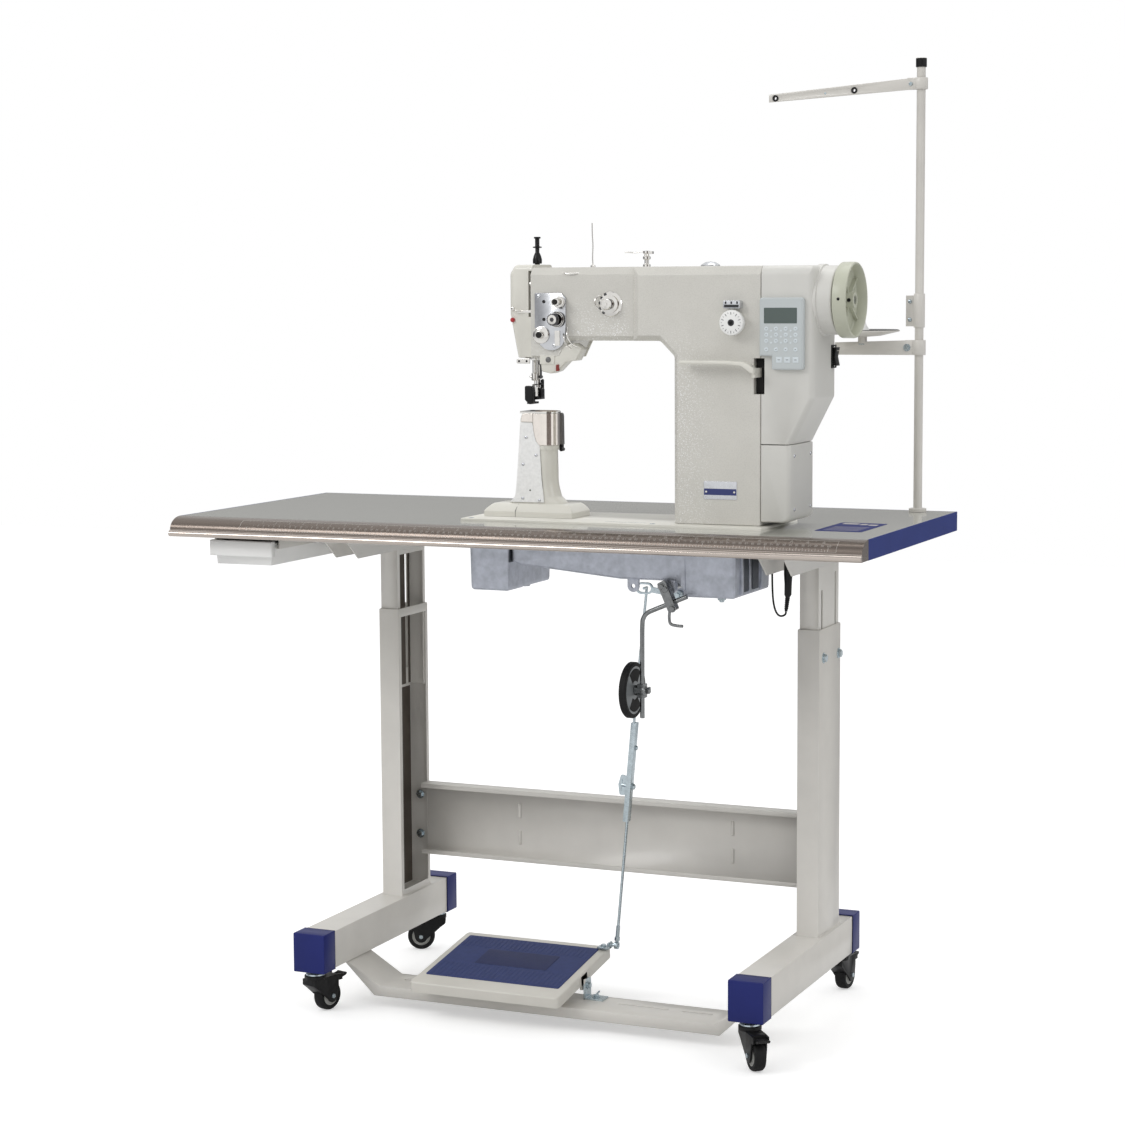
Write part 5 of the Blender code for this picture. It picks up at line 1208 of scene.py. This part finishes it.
def make_needle():
    x, y = NEEDLE
    bar = Shape()
    bar.lathe("Z", NEEDLE, [(0, 1031.8), (0.3, 1032.2), (0.8, 1036), (0.8, 1050), (1.1, 1052), (1.1, 1061),
            (3.4, 1061.5), (5.2, 1062.5), (5.2, 1073.5), (4.5, 1074.2), (3.6, 1074.5), (3.6, 1233.5),
            (3, 1234), (0, 1234)], 28)
    bar.screw((x - 5, y, 1068), (-1, 0, 0), 2.2, 4)
    bar.tube(smooth_path([(x + 1.5, y - 5.2, 1065), (x, y - 7.5, 1063), (x - 1.8, y - 6, 1062)], 4), 0.5, 8)
    bar.piece("needle_and_bar", CHROME, "needle_bar", replaces="needle_bar")
    foot = Shape().disc("Z", PRESSER, 3.5, 1040, 1233.5, 0.4, 28)
    foot.box((x - 3, x + 3.5), (-62, -51), (1033, 1050))
    foot.box((x - 1.2, x + 1.8), (-79, -77.5), (1029, 1056))
    foot.box((x - 1.2, x + 1.8), (-79, -60), (1054, 1056))
    foot.screw((x + 7, -62, 1041), (0, -1, 0), 2.8, 3)
    foot.tube([(x + 7.5, -60, 1047), (x + 11, -64, 1049)], 0.7, 8)
    foot.piece("presser_bar_and_shank", CHROME, "presser_bar", bevel=0.4, replaces="presser_bar")
    sole = Shape().pillow(rect(-25, -14, -90, -63, 3), 0.6, "Z", 1024, 1027.5, 0.6, 0.6)
    slot_cut = Shape().box((x - 2, x + 2), (-74, -68), (1010, 1040))
    sole.piece("presser_sole", BLACK_STEEL, "presser_bar", cut=slot_cut)
    toe = Shape().pillow([(-26.8, 1031, 2), (-19.6, 1023.8, 3), (-12.8, 1023.8, 3), (-11.8, 1042, 3),
            (-14, 1052.8, 3), (-26.8, 1054, 3)], 1.8, "Y", -93.8, -81.2, 1.8, 1.8)
    toe.piece("presser_toe", BLACK, "presser_bar", slot="black_steel")
    arm = Shape().box((-12.6, -9.2), (-83, -52), (1031, 1036.5))
    arm.box((-16.5, -9.5), (-63.5, -52.5), (1031.5, 1036))
    arm.pillow([(-12.6, 1033.5, 1), (-7.4, 1033.5, 1), (-7.4, 1048, 2), (-12.6, 1050, 2)], 0.6, "Y", -70,
            -56, 0.6, 0.6)
    arm.pillow([(-12.6, 1048, 1), (-8.2, 1048, 1), (-8.2, 1062, 1), (-9.5, 1064), (-12.6, 1062, 1)], 0.4,
            "Y", -61.1, -56, 0.4, 0.4)
    arm.disc("Y", (-10.4, 1056), 2.2, -66, -56, 0.4, 16)
    arm.piece("presser_side_arm", BLACK_STEEL, "presser_bar", bevel=0.4)
    link = Shape()
    link.tube(smooth_path([(-11, -64, 1090), (-9.8, -65, 1084), (-10, -65, 1076), (-10.6, -64, 1068)], 4),
            1.8, 12)
    link.disc("Y", (-11, 1090), 3.2, -66.5, -61.5, 0.5, 20)
    link.disc("Y", (-10.6, 1067.5), 3, -66.5, -61.5, 0.5, 20)
    link.piece("lifting_link", CHROME_PAINTED_DARK)
    bushes = Shape()
    bushes.lathe("Z", NEEDLE, [(3.8, 1095), (6.2, 1095), (6.8, 1096.5), (6.8, 1106), (3.8, 1106)], 28,
            closed=True)
    bushes.lathe("Z", PRESSER, [(3.7, 1093), (5.8, 1093), (6.4, 1094.5), (6.4, 1106), (3.7, 1106)], 28,
            closed=True)
    bushes.piece("bar_bushes", CHROME)
    knob = Shape()
    knob.lathe("Z", PRESSER, [(0, 1238.2), (4, 1238.2), (4, 1251.5), (7.4, 1252), (7.6, 1258), (6.2, 1264),
            (4.5, 1268), (3.4, 1270), (3.4, 1277), (7.2, 1277.6), (7.4, 1279.2), (4, 1280), (3.6, 1281),
            (3.6, 1292), (5.5, 1292.8), (5.6, 1294.5), (5, 1295.3), (0, 1295.3)], 28)
    knob.piece("presser_screw", BLACK_STEEL, "presser_regulator", replaces="presser_regulator")


def make_tension():
    dress(SATIN, "tension_plate", bevel=0.6)
    knob = Shape()
    centre = (47.5, 1162)
    knob.lathe("Y", centre, [(0, -150.8), (3, -151), (3.4, -149.8), (7.4, -149.2), (9.2, -148),
            (9.4, -141.5), (8, -140), (4.4, -139.5), (4.4, -133), (11.5, -132.2), (12.6, -130.8),
            (6, -128.5), (6, -127), (12.6, -124.8), (11.8, -122.8), (0, -122.6)], 40)
    for index in range(18):
        a, b = ring(centre, 9.3, 18)[index]
        knob.disc("Y", (a, b), 0.7, -147.8, -141.8, 0, 6)
    knob.piece("tension_nut", CHROME_PAINTED_DARK, "tension_knob", replaces="tension_knob")
    rim = Shape()
    rim.lathe("Y", centre, [(3.5, -149.9), (7.5, -149.5), (7.5, -148.5), (3.5, -148.9)], 32, closed=True)
    rim.lathe("Y", centre, [(10, -132.7), (12.7, -131.2), (12.7, -130.4), (10, -130)], 40, closed=True)
    rim.piece("tension_nut_rim", CHROME, "tension_knob")
    fixed = Shape()
    centre = (50, 1190)
    fixed.lathe("Y", centre, [(0, -144), (2.4, -144.2), (3, -143), (6.6, -142.4), (7, -137), (4, -136),
            (4, -131), (9.2, -130), (9.6, -128.5), (5, -127.2), (9.6, -125.4), (9, -123.8), (0, -123.6)],
            36)
    centre = (17, 1137.2)
    fixed.lathe("Y", centre, [(0, -133), (5.8, -133), (6.4, -131), (6.4, -126.2), (12.4, -125.8),
            (14, -124.8), (14.2, -123.2), (13, -122.2), (0, -122.2)], 40)
    fixed.box((41, 50), (-124.5, -122.2), (1120, 1144))
    fixed.tube(smooth_path([(56, -123.5, 1139), (60, -130, 1133), (62, -128, 1123), (70, -124, 1115)], 6),
            1, 10)
    fixed.piece("tension_parts", CHROME, bevel=0.2)
    # painted shade: dark discs in the holes of the tension parts
    centres = Shape().disc("Y", (17, 1137.2), 5, -134.6, -132, 0.6, 24)
    centres.disc("Y", (50, 1190), 4.5, -145, -143.8, 0.6, 24)
    centres.disc("Y", (21.5, 1162), 2.7, -122.6, -121.6, 0, 16)
    centres.disc("Y", (21.5, 1190.5), 2.7, -122.6, -121.6, 0, 16)
    centres.piece("tension_holes", RECESS_SHADE)
    screws = Shape()
    for x, z in ((12.5, 1199), (40, 1120)):
        screws.screw((x, -122.2, z), (0, -1, 0), 3.2)
    screws.piece("tension_plate_screws", SATIN)
    upper = Shape()
    centre = (136.1, 1186.1)
    upper.lathe("Y", centre, [(0, -118), (20, -117.8), (20.2, -119), (19, -120.2), (11, -121), (10, -122.5),
            (14.5, -124), (14.8, -125.6), (6, -126.8), (6, -130), (8.6, -130.8), (9, -137), (7.6, -138.8),
            (3, -139.2), (2.8, -141), (0, -141.2)], 44)
    upper.tube(smooth_path([(120, -119.5, 1200), (114, -125, 1196), (113, -127, 1186), (118, -123, 1178)],
            6), 1.1, 10)
    upper.piece("second_tension", CHROME)
    spring = Shape()
    for turn in (118, 146, 174, 202, 230):
        a = centre[0] + 17.2 * math.cos(math.radians(turn))
        b = centre[1] + 17.2 * math.sin(math.radians(turn))
        spring.disc("Y", (a, b), 2.6, -121.2, -119.6, 0.5, 16)
    spring.lathe("Y", centre, [(6.2, -131), (9.2, -131.2), (9.2, -134), (6.2, -134)], 32, closed=True)
    spring.piece("second_tension_dark_parts", CHROME_PAINTED_DARK)
    guides = Shape()
    route = [(53, -115.5, 1236), (57, -119.5, 1235.5), (63, -120.5, 1234.5), (70, -120.5, 1234.2),
            (76.5, -119.5, 1235), (80, -115.5, 1235.5)]
    guides.tube(smooth_path(route, 5), 1, 10)
    guides.box((51.5, 81.5), (-116.2, -113), (1233.4, 1236.6))
    guides.piece("arm_thread_guide", CHROME, bevel=0.2)


def make_lamp():
    bracket = Shape()
    corners = [(10.8, 1106, 2), (14, 1078.5, 3), (30, 1074.8, 4), (42, 1079, 3), (58, 1094.5, 4),
            (74.5, 1096, 3), (84.7, 1115, 3), (70, 1124, 3), (48, 1118, 2)]
    bracket.pillow(corners, 2.5, "Y", -117, -90, 2.5, 2, steps=2)
    bracket.pillow([(11.9, 1090.1, 1), (37.5, 1090.1, 1), (38.2, 1104.1, 1), (11.9, 1104.1, 1)], 0.4, "Y",
            -118.4, -116.5, 0.4)
    bracket.piece("lamp_housing", IVORY)
    knob = Shape().screw((27.1, -118.4, 1097.2), (0, -1, 0), 4.6, 2.2, recess=False)
    knob.piece("lamp_screw", HUB_DARK, slot="polished_steel")
    button = Shape()
    button.pillow([(40.5, 1078.5, 1), (45.5, 1079.5, 1), (45.5, 1090, 1), (40.5, 1089, 1)], 0.6, "Y", -119,
            -114, 0.6)
    button.piece("lamp_button", LAMP_RED)
    wire = Shape()
    wire.tube(smooth_path([(62, -122, 1150), (64, -126, 1135), (72, -125, 1122), (80, -120, 1118)], 6), 1.1,
            10)
    wire.piece("thread_wire", CHROME)


def make_head_top():
    cap = Shape().lathe("Z", (288, -71), [(0, 1244), (15, 1244.5), (15.2, 1247), (12, 1249), (8, 1251.5),
            (0, 1252.5)], 36)
    cap.piece("oil_cap", SATIN)
    pin = Shape()
    pin.lathe("Z", (86.1, -71), [(0, 1244.5), (4, 1244.5), (3.8, 1248), (1.6, 1249.5), (0, 1250)], 20)
    route = [(86.1, -71, 1246), (85.5, -71, 1262), (86.2, -71, 1280), (85.2, -71, 1298), (84.9, -71, 1316)]
    pin.tube(smooth_path(route, 5), 0.9, 10)
    pin.piece("spool_pin", CHROME)
    lever = Shape().lathe("Z", (185.1, -85), [(0, 1244), (6, 1244.5), (6, 1248.5), (3.6, 1250), (3.6, 1256),
            (6, 1257), (6.2, 1261), (4, 1262.5), (3.6, 1265), (5.8, 1266), (5.8, 1270), (0, 1270.5)], 28)
    lever.tube(smooth_path([(188, -85, 1267.5), (178, -85, 1269), (165, -85, 1267.5), (154, -85, 1268.2),
            (147.4, -85, 1268.2)], 5), 1.1, 10)
    lever.box((185, 196), (-88, -82), (1265.2, 1269.4))
    lever.piece("thread_guide_lever", CHROME, bevel=0.3)


def make_dial():
    centre = (351.3, 1157.2)
    dial = Shape()
    dial.lathe("Y", centre, [(0, -151.2), (16.5, -151.2), (18.8, -150.6), (19.5, -149.4), (19.5, -144),
            (18.8, -142.7), (16.6, -142.4), (16, -130.3), (0, -130.3)], 64)
    for index in range(40):
        a, b = ring(centre, 19.4, 40)[index]
        dial.disc("Y", (a, b), 0.6, -149, -144.2, 0, 6)
    dial.piece("stitch_dial_face", WHITE, "stitch_dial", replaces="stitch_dial")
    marks = Shape()
    for index in range(10):
        turn = Matrix.Translation((centre[0], 0, centre[1])) @ Matrix.Rotation(math.radians(36.0 * index),
                4, "Y")
        mark = Shape(turn).box((-0.4, 0.4), (-151.5, -151), (12.5, 16.5))
        marks.mesh.from_mesh(mark_mesh(mark))
        half = Shape(turn @ Matrix.Rotation(math.radians(18.0), 4, "Y"))
        half.box((-0.25, 0.25), (-151.5, -151), (14.5, 16.5))
        marks.mesh.from_mesh(mark_mesh(half))
    marks.disc("Y", centre, 5.2, -151.9, -150, 0.4, 32)
    marks.piece("stitch_dial_marks", DARK_INK, "stitch_dial")
    knob = Shape().screw((centre[0], -151.7, centre[1]), (0, -1, 0), 3, 1.2)
    knob.piece("stitch_dial_screw", BLACK_STEEL, "stitch_dial", slot="polished_steel")
    window = Shape()
    window.pillow([(335.5, 1179, 2), (363.5, 1179, 2), (363.5, 1191.5, 3), (335.5, 1191.5, 3)], 1, "Y",
            -144, -129.6, 1.2)
    window.piece("scale_housing", SATIN)
    dark = Shape().box((337.5, 361.5), (-144.6, -143.5), (1180.5, 1185))
    for x in (340, 349.5, 359):
        dark.box((x - 1.2, x + 1.2), (-144.6, -143.5), (1186, 1190))
    dark.piece("scale_window", DARK_INK)


def mark_mesh(shape):
    """The mesh of a gathered shape, for adding it to another."""
    mesh = bpy.data.meshes.new("mark")
    shape.mesh.to_mesh(mesh)
    shape.mesh.free()
    return mesh


# ---------------------------------------------------------------- motor covers, panel and handwheel
def make_motor_covers():
    upper = Shape()
    corners = [(393.1, 968), (441.5, 968, 6), (478.5, 1040, 12), (478.5, 1245, 10), (393.1, 1245)]
    upper.pillow(corners, [0.8, 8, 9, 16, 0.8], "Y", -130, -12, 16, 16, steps=7)
    upper.piece("motor_cover", COVER, replaces="motor_cover_upper",
            cut=lever_slot().box((474, 490), (-39.2, -18.8), (1086.5, 1118.5)))
    neck = Shape()
    neck.lathe("X", SHAFT, [(8, 470), (56, 470), (56, 479.5), (53.8, 480.5), (53.5, 502.5), (52.5, 503.8),
            (8, 503.8)], 56, closed=True)
    neck.piece("motor_cover_neck", COVER)
    # painted shade: a dark box inside the lever slot in the motor cover
    pocket = Shape().box((393.2, 399), (-118, -60.5), (1046.2, 1101.8))
    pocket.piece("lever_pocket_painted_shade_right", RECESS_SHADE)
    lower = Shape()
    corners = [(393.1, 846), (441.5, 846, 14), (441.5, 967.4, 2), (393.1, 967.4)]
    lower.pillow(corners, [3, 10, 0.8, 0.8], "Y", -130, -12, 8, 8, steps=5)
    lower.piece("motor_cover_foot", COVER, replaces="motor_cover_lower")
    screws = Shape()
    for y in (-110, -30):
        screws.screw((441.5, y, 950), (1, 0, 0), 3)
        screws.screw((441.5, y, 866), (1, 0, 0), 3)
    for x, z in ((410, 1215), (465, 1215), (465, 1060), (410, 985)):
        screws.screw((x, -12, z), (0, 1, 0), 3.4)
    screws.piece("motor_cover_screws", SATIN)
    # painted shade: dark strips for the shade inside the vent slots
    vents = Shape()
    for index in range(9):
        z = 1150 - 7 * index
        vents.box((424, 464), (-12.5, -11.7), (z, z + 3))
    vents.piece("motor_vents", RECESS_SHADE)
    dress(SATIN, "main_shaft")
    dress(ZINC, "motor_stator")
    bezel = Shape().pillow(rect(-41.5, -16.5, 1084.2, 1121, 2), 0.8, "X", 478, 480, 0, 0.8)
    opening = Shape().box((470, 490), (-39, -19), (1086.7, 1118.3))
    bezel.piece("switch_bezel", BLACK, cut=opening)
    dress(BLACK, "power_switch", bevel=0.5)
    dots = Shape().box((483.8, 486.6), (-33, -25), (1111, 1112))
    dots.piece("switch_mark", WHITE_INK, "power_switch")


def make_handwheel():
    wheel = Shape()
    wheel.lathe("X", SHAFT, [(7.4, 506.2), (56, 506.2), (58.2, 507), (58.9, 508.5), (59, 525), (58.4, 528),
            (57.2, 529), (55.6, 528.8), (54.8, 527.6), (54, 513), (52, 511.2), (18, 510.6), (13, 511.2),
            (12.2, 513), (12, 526.2), (11.2, 527), (7.4, 527)], 72, closed=True)
    wheel.piece("handwheel_cup", WHEEL_GREEN, "main_shaft", replaces="handwheel")
    ribs = Shape()
    for index in range(5):
        turn = Matrix.Translation((0, *SHAFT)) @ Matrix.Rotation(math.radians(72.0 * index + 20.0), 4, "X")
        rib = Shape(turn).box((510.4, 517), (-1.6, 1.6), (11.8, 54.5))
        ribs.mesh.from_mesh(mark_mesh(rib))
    ribs.piece("handwheel_ribs", WHEEL_GREEN, "main_shaft", bevel=0.4)
    screws = Shape().screw((520, SHAFT[0] - 11.8, SHAFT[1]), (0, -1, 0), 3)
    screws.screw((510.6, SHAFT[0] + 24, SHAFT[1] + 10), (1, 0, 0), 3.4)
    screws.screw((510.6, SHAFT[0] - 24, SHAFT[1] - 10), (1, 0, 0), 3.4)
    screws.screw((517.5, SHAFT[0] - 58.9, SHAFT[1] + 2), (0, -1, 0), 2.4, 0.8)
    screws.piece("handwheel_screws", BLACK_STEEL, "main_shaft")


def make_panel():
    front = -138.5
    panel = Shape()
    corners = [(393.5, 1105.7, 1), (413.5, 1105.7, 1), (413.5, 1084.6, 3), (465, 1084.6, 5),
            (465, 1195.8, 5), (393.5, 1195.8, 5)]
    panel.pillow(corners, 1.5, "Y", front, -130.3, 2)
    panel.piece("panel_case", PANEL, replaces="control_panel")
    film = Shape()
    corners = [(396.5, 1108, 1), (416, 1108, 1), (416, 1087, 2), (462.2, 1087, 4), (462.2, 1193.2, 4),
            (396.5, 1193.2, 4)]
    film.pillow(corners, 0, "Y", front - 0.3, front + 1)
    film.piece("panel_film", PANEL)
    screen = Shape().pillow(rect(401.1, 454.6, 1156, 1180, 1), 0, "Y", front - 0.6, front)
    screen.piece("panel_display", SCREEN)
    keys = Shape()
    for row, z in enumerate((1147.8, 1138.5, 1129.2, 1116)):
        for x in (405, 420.8, 436.6, 452.4):
            keys.disc("Y", (x, z), 3.4, front - 1, front, 0.6, 24)
        if row < 3:
            for x in (412.9, 428.7, 444.5):
                keys.disc("Y", (x, z - 3), 1.6, front - 0.7, front, 0.3, 16)
    for x in (425.7, 439, 452.6):
        keys.pillow(rect(x - 4.8, x + 4.8, 1095.5, 1104.5, 1), 0.5, "Y", front - 1, front, 0.5)
    keys.piece("panel_keys", KEYS)
    marks = Shape()
    for z in (1147.8, 1138.5, 1129.2, 1116):
        for x in (405, 420.8, 436.6, 452.4):
            marks.box((x - 1.2, x + 1.2), (front - 1.2, front - 0.8), (z - 0.3, z + 0.3))
    for x in (425.7, 439, 452.6):
        marks.box((x - 2, x + 2), (front - 1.2, front - 0.8), (1099.6, 1100.4))
    marks.piece("panel_key_marks", DARK_INK)


def make_reverse_lever():
    lever = Shape()
    corners = [(266.6, 1093.2, 2), (345, 1093, 20), (370, 1090.5, 10), (385, 1080, 4), (390.5, 1078, 1),
            (390.5, 1087, 4), (374.5, 1096.5, 10), (345, 1098.5, 20), (266.6, 1098.5, 2)]
    lever.pillow(corners, 1.5, "Y", -158, -140, 1.5, 1.5)
    lever.box((384.6, 390.4), (-150, -86.2), (1072.2, 1086.8))
    lever.disc("X", (-92, 1078), 3, 382.5, 392.5, 0, 16)
    lever.piece("reverse_blade", IVORY, "reverse_lever", bevel=0.5, replaces="reverse_lever")


# ---------------------------------------------------------------- thread stand and lead
def make_thread_stand():
    x, y = POLE
    dress(STAND, "stand_pole", bevel=0.4)
    dress(STAND, "thread_arm", bevel=0.5)
    cap = Shape().lathe("Z", POLE, [(7.4, 1569), (8.6, 1569), (9, 1570), (9, 1583), (8.2, 1584), (0, 1584),
            (0, 1574.5), (7.4, 1574.5)], 32)
    cap.piece("pole_cap", BLACK)
    foot = Shape().lathe("Z", POLE, [(7.3, 836.3), (14.6, 836.3), (14.6, 838.5), (11.5, 840), (11, 842.5),
            (7.3, 842.8)], 36, closed=True)
    foot.piece("pole_flange", STAND)
    screws = Shape()
    for z in (1156, 1186):
        screws.screw((x - 15.5, y - 1.6, z), (0, -1, 0), 3.4, 2.8)
    screws.piece("pole_clamp_screws", ZINC)
    upper = Shape()
    for hole_x, hole_z in ((288.5, 1526.5), (426.2, 1535)):
        upper.lathe("Y", (hole_x, hole_z), [(2.4, y - 7.2), (4.8, y - 7.2), (5.4, y - 6), (3.6, y - 5),
                (3.6, y - 3.2), (5.4, y - 2.2), (4.8, y - 1.2), (2.4, y - 1.2)], 28, closed=True)
    upper.piece("thread_eyelets", BLACK, "thread_arm")
    upper_screw = Shape().screw((x - 16, y - 5.6, 1542), (0, -1, 0), 3.4, 2.6)
    upper_screw.disc("Y", (376, 1531.8), 1.8, y - 5.8, y - 2.8, 0, 16)
    upper_screw.piece("thread_arm_screw", ZINC, "thread_arm")
    dress(STAND, "spool_arm", bevel=0.3)
    spool = (441.4, y)
    pad = Shape().lathe("Z", spool, [(0, 1134.2), (34, 1134.8), (60, 1138.4), (60.6, 1139.2), (59, 1139.6),
            (34, 1136.6), (13, 1136.2), (0, 1136.2)], 56)
    pad.piece("spool_pad", BLACK, "spool_arm")
    post = Shape()
    post.lathe("Z", spool, [(0, 1135), (12, 1135.5), (11, 1140), (6.4, 1148), (4.2, 1155.5), (0, 1156)], 28)
    post.piece("spool_cone", WHITE, "spool_arm")
    nuts = Shape().bolt((520, y - 6, 1110), (0, -1, 0), 4.6)
    nuts.bolt((441.4, y, 1116), (0, 0, -1), 5.8)
    nuts.piece("spool_arm_bolts", ZINC, "spool_arm")


# the lead is laid out in metres, in the plane y = LEAD_Y
LEAD_Y = -0.040
LEAD_RADIUS = 0.0016
LEAD_ROUTE = [
    (0.4050, 0.6954), (0.4038, 0.6912), (0.3980, 0.6882), (0.3918, 0.6900), (0.3868, 0.6978),
    (0.3835, 0.7120), (0.3820, 0.7340), (0.3815, 0.7660), (0.3815, 0.8035),
]


def make_lead():
    dress(BLACK, "lead_connector", bevel=0.3)
    grips = Shape(Matrix.Scale(1 / MM, 4))
    for index in range(6):
        z = 0.7 + 0.0032 * index
        share = (z - 0.696) / 0.023
        radius = 0.0027 + 0.0011 * share
        x = 0.405 + 0.0027 * share
        grips.lathe("Z", (x, LEAD_Y), rect(0.0005, radius + 0.0005, z, z + 0.0014), 20, closed=True)
    grips.piece("lead_relief_ribs", RUBBER)
    curve = bpy.data.curves.new("lead", "CURVE")
    curve.dimensions = "3D"
    spline = curve.splines.new("POLY")
    route = [tuple(point) for point in smooth_path(LEAD_ROUTE, 3)]
    spline.points.add(len(route) - 1)
    for point, (x, z) in zip(spline.points, route):
        point.co = (x, LEAD_Y + BENCH.y, z, 1.0)
    curve.bevel_depth = LEAD_RADIUS
    curve.bevel_resolution = 4
    curve.use_fill_caps = True
    curve.materials.append(RUBBER)
    lead = bpy.data.objects.new("lead", curve)
    bpy.context.scene.collection.objects.link(lead)
    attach(lead, "table")
    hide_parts("control_lead")


make_camera()
make_studio()
make_lead()
make_casters()
make_stand()
make_pedal()
make_pull_rod()
make_knee_lifter()
make_table()
make_drawer()
make_bed()
make_post()
make_head()
make_face()
make_needle()
make_tension()
make_lamp()
make_head_top()
make_dial()
make_motor_covers()
make_handwheel()
make_panel()
make_reverse_lever()
make_thread_stand()
